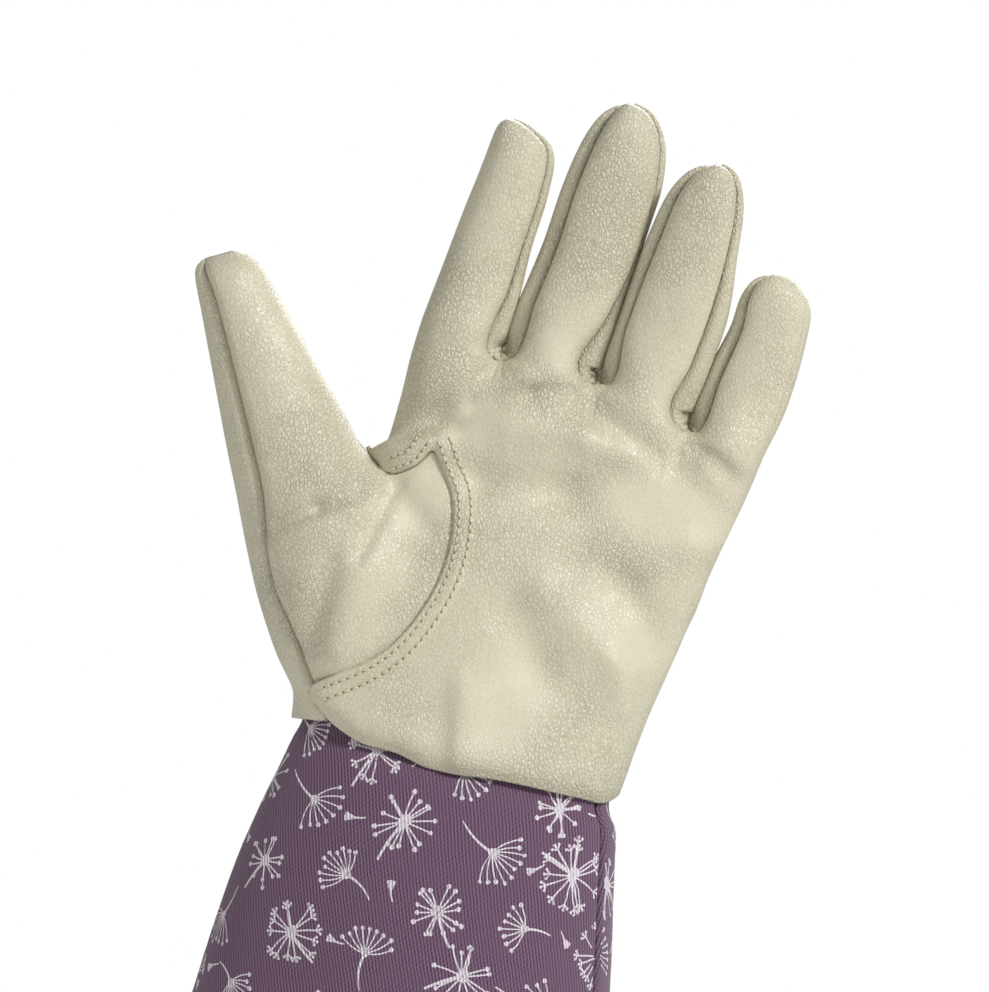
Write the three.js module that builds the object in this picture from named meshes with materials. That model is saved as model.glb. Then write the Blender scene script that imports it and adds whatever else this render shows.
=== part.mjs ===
// Puncture-proof gardening glove for the left hand: a cream leather hand with a long cloth sleeve.
// Millimetres, +Z towards the finger tips, +X towards the little finger, the palm faces -Y.
// The origin is the middle of the wrist, on the line where the leather ends and the sleeve begins.
import * as THREE from 'three';
import { mergeVertices } from 'three/addons/utils/BufferGeometryUtils.js';

// Driving sizes
const LEATHER = 1.4; // wall of the leather panels
const CLOTH = 1.2; // wall of the sleeve
const CUFF_HEM = 2.4; // the sleeve's turned hem is two layers of cloth
const CUFF_HEM_HEIGHT = 18;
const SEAM_GAP = 0.3; // left between two panels along a seam
const LAP = 3; // how far the thumb reaches under the folded edge of the thumb hole
const LAP_SLOPE = 6; // width over which it comes up to the surface again
const MITRE = 0.15; // how far a rim leans back from the seam, as a share of the wall
const BODY_SQUARENESS = 2.5; // power of the hand's section; 2 is an ellipse
const BACK_SHARE = 0.92; // depth of the thumb's back as a share of its front
const PAST_EDGE = 2; // how steeply a section's depth falls away past its edge
const ROOT_BLEND = 3; // softness of the line where the thumb's root meets the hand
const KNUCKLE_DEPTH = 14; // half the thickness where the fingers leave the palm
const KNUCKLE_SHARE = 0.35; // share of a finger's length over which it thins down to its own depth
const KNUCKLE_REACH = 24; // height below the crotches in which the hand takes on the fingers' shape
const SIDE_STRIP = 5.2; // half the width of the strip between the fingers
const TIP_DEPTH = 1.0; // half the thickness left at a finger tip
const TIP_START = 0.74; // share of a finger's length where its tip begins to round off
const WRAP_END = 0.7; // share of a finger's length where the wraps round its sides begin to fade
const WRAP_FADE = 0.14; // and the share over which they do
const TIP_GAP = 0.18; // how far palm panel and back panel part at a finger tip
const TIP_GAP_POWER = 12; // keeps that parting close to the tip
const STRIP_END = 0.975; // share of a finger's length where the side strip runs out
const STRIP_TAPER = 0.25; // share of a finger's length over which the strip narrows
const STRIP_CLEARANCE = 0.25; // between a strip and the middle line of the gap that it closes
const STRIP_BLUNT = 0.003; // share of a finger's length by which the strip's ends are cut blunt
const STRIP_LAYERS = 4; // mesh rows across a strip
const STRIP_PROFILE = { flatness: 4, roundness: 0.75 }; // powers of its bulged cross-section
const BULGE_FADE = 8; // power with which the bulge dies away towards the tip
const THUMB_CURL = 2; // how far the thumb's tip leans towards the palm side
const CURL_POWER = 1.5; // thumb and fingers bend more towards their tips
const INDEX_WRAP = 115; // degrees that the palm panel wraps round the index finger
const LITTLE_WRAP = 0.2; // how far the back comes round the little finger's side, as a share of its width
const ROUNDNESS = 0.85; // below 1 a section is a little squarer than an ellipse
const COLUMNS = 6; // mesh columns across one finger
const ALONG = [0, 0.03, 0.09, 0.17, 0.25, 0.35, 0.45, 0.55, 0.65, 0.73, 0.8, 0.86, 0.91, 0.96, 1];
const FINGERS_START = 97; // above this height the seams are turned ones
const OUTER_SIDE = 40; // and to the right of this
const THUMB_TIP = 112; // and beyond this place along the thumb

// Finger outlines. Each row is a place along the finger: share of its length, x and z of the left
// seam, x and z of the right seam, and how far the strips on its left and on its right bulge out.
// The first row is the crotch, the last the tip; depth is half the finger's thickness, and curl is
// how far its tip leans towards the palm side.
const FINGERS = [
  { // index, whose left side has no seam
    rows: [
      [0.00, -44.6, 98.5, -20.3, 113.6, 0, 1.2],
      [0.03, -44.5, 100.9, -22.5, 114.2, 0, 3.0],
      [0.09, -44.9, 105.8, -24.1, 118.3, 0, 4.2],
      [0.25, -44.6, 118.9, -23.2, 130.7, 0, 3.4],
      [0.45, -43.2, 135.2, -22.6, 146.3, 0, 2.2],
      [0.65, -41.8, 151.4, -22.0, 161.8, 0, 2.0],
      [0.80, -40.4, 163.6, -23.4, 173.3, 0, 1.8],
      [0.90, -39.7, 171.7, -29.4, 177.4, 0, 1.4],
      [0.96, -39.1, 176.6, -33.9, 179.1, 0, 1.0],
      [1.00, -37.4, 178.8, -37.4, 178.8, 0, 1.0],
    ],
    depth: 11,
    curl: 9,
  },
  { // middle
    rows: [
      [0.00, -20.3, 113.6, 7.4, 113.4, 1.2, 1.2],
      [0.03, -18.3, 114.9, 4.8, 114.0, 3.0, 3.5],
      [0.09, -17.1, 119.5, 2.1, 118.6, 4.2, 5.6],
      [0.25, -15.5, 132.5, 5.4, 132.8, 4.2, 3.2],
      [0.45, -13.9, 148.7, 8.5, 150.7, 3.9, 1.6],
      [0.65, -13.3, 165.0, 8.7, 168.9, 3.8, 1.6],
      [0.80, -11.9, 177.2, 6.7, 182.4, 4.0, 1.6],
      [0.90, -10.1, 185.1, 2.1, 190.1, 4.2, 1.6],
      [0.96, -8.3, 189.6, -2.9, 192.3, 4.2, 1.6],
      [1.00, -6.5, 192.4, -6.5, 192.4, 4.2, 1.6],
    ],
    depth: 11.5,
    curl: 10.5,
  },
  { // ring
    rows: [
      [0.00, 7.4, 113.4, 34.9, 107.9, 1.2, 1.2],
      [0.03, 9.3, 114.5, 32.9, 109.3, 3.0, 3.5],
      [0.09, 10.5, 118.6, 30.4, 113.5, 3.2, 5.2],
      [0.25, 10.7, 130.3, 31.7, 126.5, 3.2, 5.2],
      [0.45, 11.6, 144.9, 32.9, 142.9, 3.2, 4.8],
      [0.65, 13.1, 159.5, 32.7, 159.4, 3.2, 2.8],
      [0.80, 14.4, 170.4, 31.5, 171.6, 3.0, 2.4],
      [0.90, 16.8, 177.2, 28.9, 179.4, 2.6, 2.2],
      [0.96, 19.7, 180.5, 25.2, 182.4, 2.4, 2.2],
      [1.00, 22.0, 182.2, 22.0, 182.2, 2.4, 2.2],
    ],
    depth: 11,
    curl: 18,
  },
  { // little
    rows: [
      [0.00, 34.9, 107.9, 57.6, 101.3, 1.2, 0],
      [0.03, 36.3, 108.7, 57.7, 103.3, 2.6, 0],
      [0.09, 37.7, 111.4, 57.8, 107.2, 3.0, 0],
      [0.25, 39.1, 119.7, 58.6, 117.7, 3.4, 0],
      [0.45, 40.7, 130.2, 59.3, 130.8, 3.6, 0],
      [0.65, 42.0, 140.7, 59.0, 144.0, 3.0, 0],
      [0.80, 41.5, 148.6, 57.6, 153.6, 2.4, 0],
      [0.90, 42.5, 153.7, 52.9, 157.8, 2.0, 0],
      [0.96, 44.4, 156.2, 49.0, 158.2, 1.8, 0],
      [1.00, 46.0, 157.7, 46.0, 157.7, 1.8, 0],
    ],
    depth: 10,
    curl: 6,
  },
];

// Where two neighbouring fingers touch, so that the strip between them presses on itself:
// x and z of the crotch, x and z of the point above which they part.
const TOUCHING = [
  [-20.3, 113.6, -19.9, 132.6],
  [7.4, 113.4, 9.9, 167.4],
  [34.9, 107.9, 38.3, 140.6],
];

// Hand sections: height, left side, right side, depth to the palm, depth to the back.
const HAND = [
  [-2, -48.2, 44.6, 24.6, 23.4],
  [6, -49.2, 45.7, 24.2, 23.0],
  [16, -49.6, 46.2, 23.0, 21.6],
  [30, -49.6, 47.6, 21.2, 19.8],
  [50, -49.4, 50.6, 19.0, 18.2],
  [70, -48.2, 52.6, 17.2, 17.0],
  [85, -46.0, 55.5, 15.8, 16.2],
  [100, -44.6, 57.8, 14.6, 15.2],
  [120, -44.5, 59.0, 12.5, 13.5],
];

// Thumb sections in the thumb's own frame: place along its axis, outline on the outer side,
// outer seam, outline towards the index finger, half depth.
const THUMB = [
  [-12, -5.4, 6.4, 24, 15.5],
  [-5.5, -4.0, 4.6, 27, 16.5],
  [0, -1.6, 3.4, 29, 17.2],
  [12, -3.6, 1.8, 38, 20],
  [20, -4.3, 1.0, 43, 21.4],
  [30, -4.7, -0.7, 46, 22],
  [40, -4.4, -0.2, 46, 21.2],
  [50, -3.8, 1.8, 44.0, 18.6],
  [58, -3.2, 3.2, 37.6, 16.4],
  [70, -2.5, 3.8, 33.2, 14.6],
  [90, -0.9, 4.2, 28.2, 13],
  [110, 0.7, 4.3, 23.2, 11.6],
  [118, 1.3, 4.0, 21.1, 9.6],
  [121.5, 1.7, 4.0, 19.8, 7.4],
  [124.2, 2.6, 4.4, 17.6, 4.4],
  [125.4, 5.0, 5.9, 14.6, 1.2],
];
const THUMB_FOOT = new THREE.Vector2(-48, 8); // where the thumb's frame starts, x and z
const THUMB_TILT = THREE.MathUtils.degToRad(31);
const THUMB_ROOT = 55; // place along the thumb where it leaves the hand
const ROOT_FADE = 14; // length over which its surface parts from the hand's
const WRIST_SEAM_BEND = -4; // place along the thumb of the outer seam's bend above the wrist

// The thumb hole's edge in the palm panel: place along the thumb's axis, distance across it.
const THUMB_HOLE = [
  [2.1, 3.3],
  [4.1, 19.6],
  [8.6, 31.0],
  [16.1, 40.8],
  [23.6, 47.5],
  [32.4, 52.4],
  [42.6, 55.4],
  [51.2, 54.6],
  [57.8, 54.0],
];

// The hole's edge goes on along the folded web: from the hole's top to the thumb.
const WEB_FLAP = [
  [57.8, 54.0],
  [54.0, 49.0],
  [53.1, 44.4],
  [52.6, 39.9],
];

// The seam between the back of the thumb and the back of the hand, in the same frame.
const THUMB_BACK_SEAM = [
  [2, 8.0],
  [12, 16.0],
  [25, 27.0],
  [38, 35.0],
  [48, 38.0],
  [55, 38.6],
  [61, 36.0],
];

// The thumb's inner seam: place along the thumb, degrees round it from the middle of its front.
const THUMB_INNER_SEAM = [
  [52.6, 62],
  [58, 71],
  [62, 85],
  [68, 98],
  [76, 106],
  [84, 112],
];

// The outer side seam from the wrist to the little finger, x and z.
const SIDE_SEAM = [
  [45.5, 6.0],
  [46.1, 12.5],
  [47.4, 30.0],
  [50.4, 50.0],
  [52.5, 70.0],
  [55.2, 86.0],
  [57.6, 101.3],
];

// The lower edge of the leather on the palm side and on the back, x and z.
const PALM_HEM = [
  [-37.6, 3.2],
  [-28.1, 0.4],
  [-17.1, 0.6],
  [-9.5, -1.3],
  [-2.2, -0.6],
  [12, 1.1],
  [29, 2.0],
  [40, 3.0],
  [45.5, 6.0],
];
const BACK_HEM = [
  [-41.0, 1.6],
  [0, 0.6],
  [36, 2.0],
  [45.5, 6.0],
];

// The web between thumb and index finger: the palm panel's edge from the thumb hole's end
// along the thumb and over the web to the index finger. x, y, z.
const WEB = [
  [-40.9, -10.4, 73.6],
  [-45.4, -6.4, 75.9],
  [-48.85, -1.6, 78.9],
  [-46.7, 1.4, 80.8],
  [-44.9, 3.6, 86.0],
];
const WEB_TOP = 2; // the last row of the web's table that lies on the thumb
const BACK_CORNER = [-46.96, 1.6, 80.5]; // the corner of the back panel next to it

// Main folds of the leather on the palm side: x and z of both ends, half width to the left and to
// the right of the line from the first end to the second, height. A negative height is a crease.
const FOLDS = [
  [-46, 79.6, -31, 88.2, 3, 6, 2.4], // folded web in front of the index finger
  [-45, 89, -31, 93, 7, 4, -2.6], // hollow behind it
  [-40, 118, -26, 121, 4, 5, 1.2],
  [-24, 99, 1, 110, 4, 4, -1.2], // creases under the finger roots
  [5, 108, 28, 100, 4, 4, -1.6],
  [-12, 96, 27, 98, 5, 5, 1.4],
  [-28, 80, 8, 83, 6, 7, -2.0], // broad hollow across the palm
  [8, 83, 36, 99, 6, 7, -2.1],
  [46, 78, 50, 62, 5, 5, 1.4], // diagonal folds towards the heel of the hand
  [18, 67, 32, 62, 6, 7, -1.9],
  [32, 62, 44, 50, 6, 7, -2.2],
  [9, 55, 38, 38, 6, 6, 1.7],
  [3, 46, 14, 34, 7, 8, -1.5],
  [14, 34, 34, 21, 7, 8, -1.7],
  [-5, 21, -2, 8, 7, 4, 1.4],
  [-41, 48, -42, 24, 5, 5, 1.2], // folds of the thumb's root
  [-50, 46, -50, 24, 4, 4, -1.6],
  [-68, 52.5, -48, 66, 4, 4, -1.2],
  [-66, 47, -48, 61, 4, 4, 1.2],
];

// Sleeve sections: height, left side, right side, depth to the palm side, depth to the back.
const SLEEVE = [
  [10, -45.0, 42.8, 19.8, 18.6],
  [4, -45.4, 43.0, 20.6, 19.4],
  [0, -46.0, 44.2, 21.4, 20.2],
  [-4, -47.0, 47.0, 24.6, 23.6],
  [-12, -48.3, 49.2, 27.0, 26.0],
  [-24, -50.4, 52.2, 29.6, 28.8],
  [-40, -52.4, 56.4, 32.4, 31.8],
  [-60, -53.3, 61.3, 35.6, 35.2],
  [-80, -53.6, 65.6, 38.4, 38.0],
  [-110, -54.8, 70.4, 41.8, 41.6],
  [-150, -57.4, 75.4, 45.4, 45.4],
  [-188, -60.4, 79.6, 48.0, 48.0],
];
const SLEEVE_END = -188;
const SLEEVE_TOP = 10;
// Heights of the sleeve's mesh rows; the second and third are the step up from the turned hem
const SLEEVE_ROWS = [
  SLEEVE_END, SLEEVE_END + CUFF_HEM_HEIGHT - 1, SLEEVE_END + CUFF_HEM_HEIGHT,
  -150, -125, -100, -78, -58, -40, -24, -12, -4, 0, 4, SLEEVE_TOP,
];
const SLEEVE_SQUARENESS = 0.92; // below 1 its section is a little squarer than an ellipse
const SLEEVE_SEAMS = [-104, 66]; // degrees round the sleeve, from the middle of its palm side
const SLEEVE_WAVES = { height: 1.4, count: 3, turn: 0.6, length: 40, fadeIn: 120 }; // of the loose cloth

// Colours
const CREAM = 0xcdc6a8;
const PURPLE = 0x6f5070;

const mix = THREE.MathUtils.lerp;
const clamp01 = (t) => Math.min(1, Math.max(0, t));
const smooth = (t) => clamp01(t) * clamp01(t) * (3 - 2 * clamp01(t));
const radians = THREE.MathUtils.degToRad;
const signedPower = (v, power) => Math.sign(v) * Math.abs(v) ** power;

// Reads a table of rows at a place given in its first column, with a smooth curve through the rows.
function rowAt(table, place) {
  const ascending = table[0][0] < table[table.length - 1][0];
  let k = 0;
  while (k < table.length - 2 && (ascending ? place > table[k + 1][0] : place < table[k + 1][0])) k += 1;
  const before = table[Math.max(0, k - 1)];
  const [from, to] = [table[k], table[k + 1]];
  const after = table[Math.min(table.length - 1, k + 2)];
  const span = to[0] - from[0];
  const t = clamp01((place - from[0]) / span);
  return from.map((value, n) => {
    const slopeFrom = (to[n] - before[n]) / (to[0] - before[0]);
    const slopeTo = (after[n] - value) / (after[0] - from[0]);
    return (2 * t ** 3 - 3 * t ** 2 + 1) * value + (t ** 3 - 2 * t ** 2 + t) * span * slopeFrom
      + (3 * t ** 2 - 2 * t ** 3) * to[n] + (t ** 3 - t ** 2) * span * slopeTo;
  });
}

// Reads a table at a share of its number of rows.
function rowAtShare(table, share) {
  const numbered = table.map((row, n) => [n / (table.length - 1), ...row]);
  return rowAt(numbered, share).slice(1);
}

// A section's depth at a distance u from its middle, -1 to 1; past its edge it falls below zero.
function sectionDepth(u, depth, power) {
  const rest = 1 - Math.abs(u) ** power;
  return rest >= 0 ? depth * Math.sqrt(rest) : -depth * (Math.abs(u) - 1) * PAST_EDGE;
}

const smoothMax = (a, b, soft) => (a + b + Math.hypot(a - b, soft)) / 2;

// Height of the folds at a point of the palm side.
function folds(x, z) {
  return FOLDS.reduce((sum, [x0, z0, x1, z1, left, right, height]) => {
    const length = Math.hypot(x1 - x0, z1 - z0);
    const along = ((x - x0) * (x1 - x0) + (z - z0) * (z1 - z0)) / length;
    const across = ((z - z0) * (x1 - x0) - (x - x0) * (z1 - z0)) / length;
    const beyond = along - Math.min(length, Math.max(0, along));
    const width = across > 0 ? left : right;
    const endWidth = (left + right) / 2;
    return sum + height * Math.exp(-((across / width) ** 2) - (beyond / endWidth) ** 2);
  }, 0);
}

// Thumb frame: a along the thumb, b across it towards the index finger.
const alongThumb = new THREE.Vector2(-Math.sin(THUMB_TILT), Math.cos(THUMB_TILT));
const acrossThumb = new THREE.Vector2(Math.cos(THUMB_TILT), Math.sin(THUMB_TILT));
const fromThumb = (a, b) => [
  THUMB_FOOT.x + a * alongThumb.x + b * acrossThumb.x,
  THUMB_FOOT.y + a * alongThumb.y + b * acrossThumb.y,
];
function toThumb(x, z) {
  const offset = new THREE.Vector2(x, z).sub(THUMB_FOOT);
  return [offset.dot(alongThumb), offset.dot(acrossThumb)];
}
const THUMB_LENGTH = THUMB[THUMB.length - 1][0];

function thumbSection(a) {
  const [, outer, seam, inner, depth] = rowAt(THUMB, a);
  const lean = -THUMB_CURL * clamp01(a / THUMB_LENGTH) ** CURL_POWER;
  return { seam, middle: (outer + inner) / 2, half: (inner - outer) / 2, depth, lean };
}

// Depth of the thumb's surface, to the palm side (side -1) or to the back (side 1).
function thumbOwnDepth(a, b, side) {
  const thumb = thumbSection(a);
  const scale = side < 0 ? 1 : BACK_SHARE;
  return thumb.lean * side + sectionDepth((b - thumb.middle) / thumb.half, thumb.depth * scale, 2);
}

// The hem of the leather is turned in: it rolls outwards above its edge and in again at the edge.
const HEM_ROLL = { out: 1.0, height: 6, width: 4, in: 1.6, edge: 1.8 };
function hemRoll(x, z, side) {
  const height = z - rowAt(side < 0 ? PALM_HEM : BACK_HEM, x)[1];
  return HEM_ROLL.out * Math.exp(-(((height - HEM_ROLL.height) / HEM_ROLL.width) ** 2))
    - HEM_ROLL.in * Math.exp(-((height / HEM_ROLL.edge) ** 2));
}

// Depth of the hand's outer surface at x, z, on the palm side or on the back.
function handDepth(x, z, side) {
  const [, left, right, palmDepth, backDepth] = rowAt(HAND, z);
  const across = (x - (left + right) / 2) / ((right - left) / 2);
  const body = sectionDepth(across, side < 0 ? palmDepth : backDepth, BODY_SQUARENESS);
  const root = thumbOwnDepth(...toThumb(x, z), side);
  return smoothMax(body, root, ROOT_BLEND) + hemRoll(x, z, side);
}

// Depth of the thumb, mixed into the hand at its root.
function thumbDepth(a, b, side) {
  const clear = smooth((a - THUMB_ROOT) / ROOT_FADE);
  return mix(handDepth(...fromThumb(a, b), side), thumbOwnDepth(a, b, side), clear);
}

// One section of a finger: its seams, the middle and direction between them, and its half depths.
function fingerSection(finger, t) {
  const [, leftX, leftZ, rightX, rightZ, ...bulges] = rowAt(finger.rows, t);
  const half = Math.hypot(rightX - leftX, rightZ - leftZ) / 2;
  const direction = half > 0.01 ? [(rightX - leftX) / half / 2, (rightZ - leftZ) / half / 2] : [1, 0];
  const dome = Math.sqrt(1 - clamp01((t - TIP_START) / (1 - TIP_START)) ** 2);
  const body = mix(KNUCKLE_DEPTH, finger.depth, smooth(t / KNUCKLE_SHARE));
  return {
    half,
    direction,
    bulges,
    middle: [(leftX + rightX) / 2, (leftZ + rightZ) / 2],
    seams: [[leftX, leftZ], [rightX, rightZ]],
    deep: TIP_DEPTH + (body - TIP_DEPTH) * dome,
    edge: SIDE_STRIP * Math.sqrt(clamp01((STRIP_END - t) / STRIP_TAPER)),
    lean: -finger.curl * t ** CURL_POWER,
  };
}

// A point of a finger's palm side or back; s runs from -1, left seam, to 1, right seam.
function fingerPoint(index, t, s, side) {
  const { half, direction, middle, deep, edge, lean } = fingerSection(FINGERS[index], t);
  const wrapShare = 1 - smooth((t - WRAP_END) / WRAP_FADE);
  let angle = radians(s * 90);
  let reach = half;
  let edgeDepth = edge;
  if (index === 0 && s < 0) {
    const wrap = radians(mix(90, INDEX_WRAP, wrapShare));
    angle = side < 0 ? s * wrap : angle;
    reach *= side < 0 ? 1 : Math.sin(wrap);
    edgeDepth = side < 0 ? 0 : deep * Math.abs(Math.cos(wrap)) ** ROUNDNESS;
  }
  if (index === FINGERS.length - 1 && s > 0) {
    const widening = 1 + LITTLE_WRAP * smooth(t / KNUCKLE_SHARE) * wrapShare;
    const turn = Math.asin(1 / widening);
    angle = side < 0 ? angle : s * (Math.PI - turn);
    reach *= side < 0 ? 1 : widening;
    edgeDepth = side < 0 ? deep * Math.cos(turn) ** ROUNDNESS : 0;
  }
  const across = reach * Math.sin(angle);
  const crown = signedPower(Math.cos(angle), ROUNDNESS);
  const depth = TIP_GAP * t ** TIP_GAP_POWER + edgeDepth + (deep - edgeDepth) * crown;
  return [middle[0] + direction[0] * across, lean + side * depth, middle[1] + direction[1] * across];
}

// An open sheet as a list of vertices and triangles.
const sheet = () => ({ points: [], faces: [] });

// Adds a grid of points to a sheet; point(i, j) gives x, y, z, and columns x rows faces outwards.
function addGrid(target, columns, rows, point, flip = false) {
  const start = target.points.length;
  for (let j = 0; j <= rows; j += 1) {
    for (let i = 0; i <= columns; i += 1) target.points.push(point(i, j));
  }
  const at = (i, j) => start + j * (columns + 1) + i;
  for (let j = 0; j < rows; j += 1) {
    for (let i = 0; i < columns; i += 1) {
      const corners = [at(i, j), at(i + 1, j), at(i + 1, j + 1), at(i, j + 1)];
      const order = flip ? corners.reverse() : corners;
      const [p, q, r, s] = order.map((corner) => new THREE.Vector3(...target.points[corner]));
      const turn = q.distanceTo(s) < p.distanceTo(r) ? 1 : 0; // the shorter diagonal splits the cell
      const [a, b, c, d] = [...order.slice(turn), ...order.slice(0, turn)];
      target.faces.push([a, b, c], [a, c, d]);
    }
  }
}

// Merges a sheet's equal points and drops faces that have collapsed.
function mergeSheet({ points, faces }) {
  const geometry = new THREE.BufferGeometry();
  geometry.setAttribute('position', new THREE.Float32BufferAttribute(points.flat(), 3));
  geometry.setIndex(faces.flat());
  const merged = mergeVertices(geometry, 1e-3);
  const position = merged.getAttribute('position');
  const vertices = Array.from({ length: position.count }, (_, n) =>
    new THREE.Vector3().fromBufferAttribute(position, n));
  const index = merged.getIndex().array;
  const triangles = [];
  for (let n = 0; n < index.length; n += 3) {
    const [a, b, c] = [index[n], index[n + 1], index[n + 2]];
    if (a !== b && b !== c && c !== a) triangles.push([a, b, c]);
  }
  return { vertices, triangles };
}

// The edges that belong to one triangle only, as start and end, in that triangle's order.
function openEdges(triangles) {
  const seen = new Map();
  for (const [a, b, c] of triangles) {
    for (const [from, to] of [[a, b], [b, c], [c, a]]) seen.set(`${from}_${to}`, [from, to]);
  }
  return [...seen.values()].filter(([from, to]) => !seen.has(`${to}_${from}`));
}

// Sums, for each corner of the triangles, the directions to the other corners.
function pullsInwards(vertices, triangles, corners) {
  const pulls = new Map([...corners].map((corner) => [corner, new THREE.Vector3()]));
  for (const triangle of triangles) {
    for (const corner of triangle.filter((c) => pulls.has(c))) {
      triangle.forEach((other) => pulls.get(corner).add(vertices[other]).sub(vertices[corner]));
    }
  }
  return pulls;
}

// Unit directions, square to an open sheet's edge, in which the edge can be drawn back.
function edgeDirections(vertices, triangles, edges) {
  const pulls = pullsInwards(vertices, triangles, new Set(edges.flat()));
  const tangents = new Map([...pulls.keys()].map((corner) => [corner, new THREE.Vector3()]));
  for (const [from, to] of edges) {
    const step = vertices[to].clone().sub(vertices[from]).normalize();
    tangents.get(from).add(step);
    tangents.get(to).add(step);
  }
  for (const [corner, pull] of pulls) {
    const tangent = tangents.get(corner).normalize();
    pull.addScaledVector(tangent, -pull.dot(tangent)).normalize();
  }
  return pulls;
}

// Vertex normals; at an edge they are carried on from those next to it, and where a panel ends
// at a turned seam they stay square to Y, so that the rims of two panels face each other.
function sheetNormals(vertices, triangles, edges, isTurned) {
  const normals = vertices.map(() => new THREE.Vector3());
  for (const [a, b, c] of triangles) {
    const ab = vertices[b].clone().sub(vertices[a]);
    const ac = vertices[c].clone().sub(vertices[a]);
    const face = new THREE.Vector3().crossVectors(ab, ac);
    for (const corner of [a, b, c]) normals[corner].add(face);
  }
  normals.forEach((normal) => normal.normalize());
  const onEdge = new Set(edges.flat());
  const near = new Map([...onEdge].map((corner) => [corner, new THREE.Vector3()]));
  for (const triangle of triangles) {
    for (const corner of triangle.filter((c) => onEdge.has(c))) {
      triangle.filter((c) => !onEdge.has(c)).forEach((other) => near.get(corner).add(normals[other]));
    }
  }
  for (const [corner, sum] of near) {
    if (isTurned(vertices[corner])) normals[corner].setY(0).normalize();
    else if (sum.length() > 0) normals[corner].multiplyScalar(2).sub(sum.normalize()).normalize();
  }
  return normals;
}

// Gives an open sheet its wall: the sheet, the same sheet moved inwards, and the rims between them.
function shell(target, wallAt, isTurned) {
  const { vertices, triangles } = mergeSheet(target);
  const edges = openEdges(triangles);
  const directions = edgeDirections(vertices, triangles, edges);
  directions.forEach((direction, corner) => vertices[corner].addScaledVector(direction, SEAM_GAP / 2));
  const normals = sheetNormals(vertices, triangles, edges, isTurned);
  const count = vertices.length;
  const inner = vertices.map((p, n) => p.clone().addScaledVector(normals[n], -wallAt(p)));
  directions.forEach((direction, corner) =>
    inner[corner].addScaledVector(direction, MITRE * wallAt(vertices[corner])));
  const faces = [...triangles];
  for (const [a, b, c] of triangles) faces.push([a + count, c + count, b + count]);
  for (const [from, to] of edges) {
    faces.push([to, from, from + count], [to, from + count, to + count]);
  }
  const geometry = new THREE.BufferGeometry();
  const all = [...vertices, ...inner].flatMap((p) => p.toArray());
  geometry.setAttribute('position', new THREE.Float32BufferAttribute(all, 3));
  geometry.setIndex(faces.flat());
  geometry.computeVertexNormals();
  return geometry;
}

const leatherMaterial = () => new THREE.MeshStandardMaterial({ color: CREAM, roughness: 0.55 });
const clothMaterial = () => new THREE.MeshStandardMaterial({ color: PURPLE, roughness: 0.9 });

function panel(name, target, isTurned) {
  const mesh = new THREE.Mesh(shell(target, () => LEATHER, isTurned), leatherMaterial());
  mesh.name = name;
  return mesh;
}

// The four finger strips of one side, standing on the row of crotches.
function addFingers(target, side) {
  FINGERS.forEach((_, index) => {
    const first = index === 0 && side < 0 ? 1 : 0;
    addGrid(target, COLUMNS, ALONG.length - 1 - first, (i, j) =>
      fingerPoint(index, ALONG[j + first], (i / COLUMNS) * 2 - 1, side), side > 0);
  });
}

// Powers with which, going up the hand, the crotches' and the knuckles' shape comes in, and the
// lower edge's fades out.
const RISE_POWERS = { crotches: 2.2, knuckles: 4, hem: 4 };

// The block of the hand between its lower edge and the crotches: left is its left edge as x, z
// and, where it isn't on the hand's surface, y; hem the lower edge; crotch the upper edge.
function addHand(target, left, hem, crotch, count, side) {
  const columns = crotch.length - 1;
  const shareOf = crotch.map((p) => (p[0] - crotch[0][0]) / (crotch[columns][0] - crotch[0][0]));
  const straight = (rise, share) => {
    const from = rowAtShare(left, rise);
    const to = rowAtShare(SIDE_SEAM, rise);
    return [mix(from[0], to[0], share), mix(from[1], to[1], share)];
  };
  addGrid(target, columns, count, (i, j) => {
    if (j === count) return crotch[i];
    const rise = j / count;
    const share = shareOf[i];
    const [x0, z0] = straight(rise, share);
    const [topX, topZ] = straight(1, share);
    const [hemX, hemZ] = straight(0, share);
    const low = rowAt(hem, mix(hem[0][0], hem[hem.length - 1][0], share));
    const up = rise ** RISE_POWERS.crotches;
    const down = (1 - rise) ** RISE_POWERS.hem;
    const x = x0 + up * (crotch[i][0] - topX) + down * (low[0] - hemX);
    const z = z0 + up * (crotch[i][2] - topZ) + down * (low[1] - hemZ);
    const surface = handDepth(x, z, side) + (side < 0 ? folds(x, z) : 0);
    const near = (1 - clamp01((crotch[i][2] - z) / KNUCKLE_REACH)) ** RISE_POWERS.knuckles;
    const y = mix(side * (i === columns ? 0 : surface), crotch[i][1], near);
    const edge = left[Math.round(rise * (left.length - 1))];
    return [x, i === 0 && edge.length > 2 ? edge[2] : y, z];
  }, side > 0);
}

// The seam from the leather's lower edge up to the thumb hole's lower corner, x and z.
const outerSeam = (a) => fromThumb(a, thumbSection(a).seam);
const PALM_LEFT = [
  PALM_HEM[0],
  outerSeam(WRIST_SEAM_BEND),
  outerSeam(THUMB_HOLE[0][0]),
  ...THUMB_HOLE.slice(1).map(([a, b]) => fromThumb(a, b)),
];
const HEM_ROWS = 4; // mesh rows from the leather's lower edge to the thumb
const FOOT_POWERS = { across: 0.9, up: 1.1 }; // curve of the line from the folded web to the crotch
const wristSeam = (rise) => rowAtShare(PALM_LEFT, (2 * rise) / (PALM_LEFT.length - 1));

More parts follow.
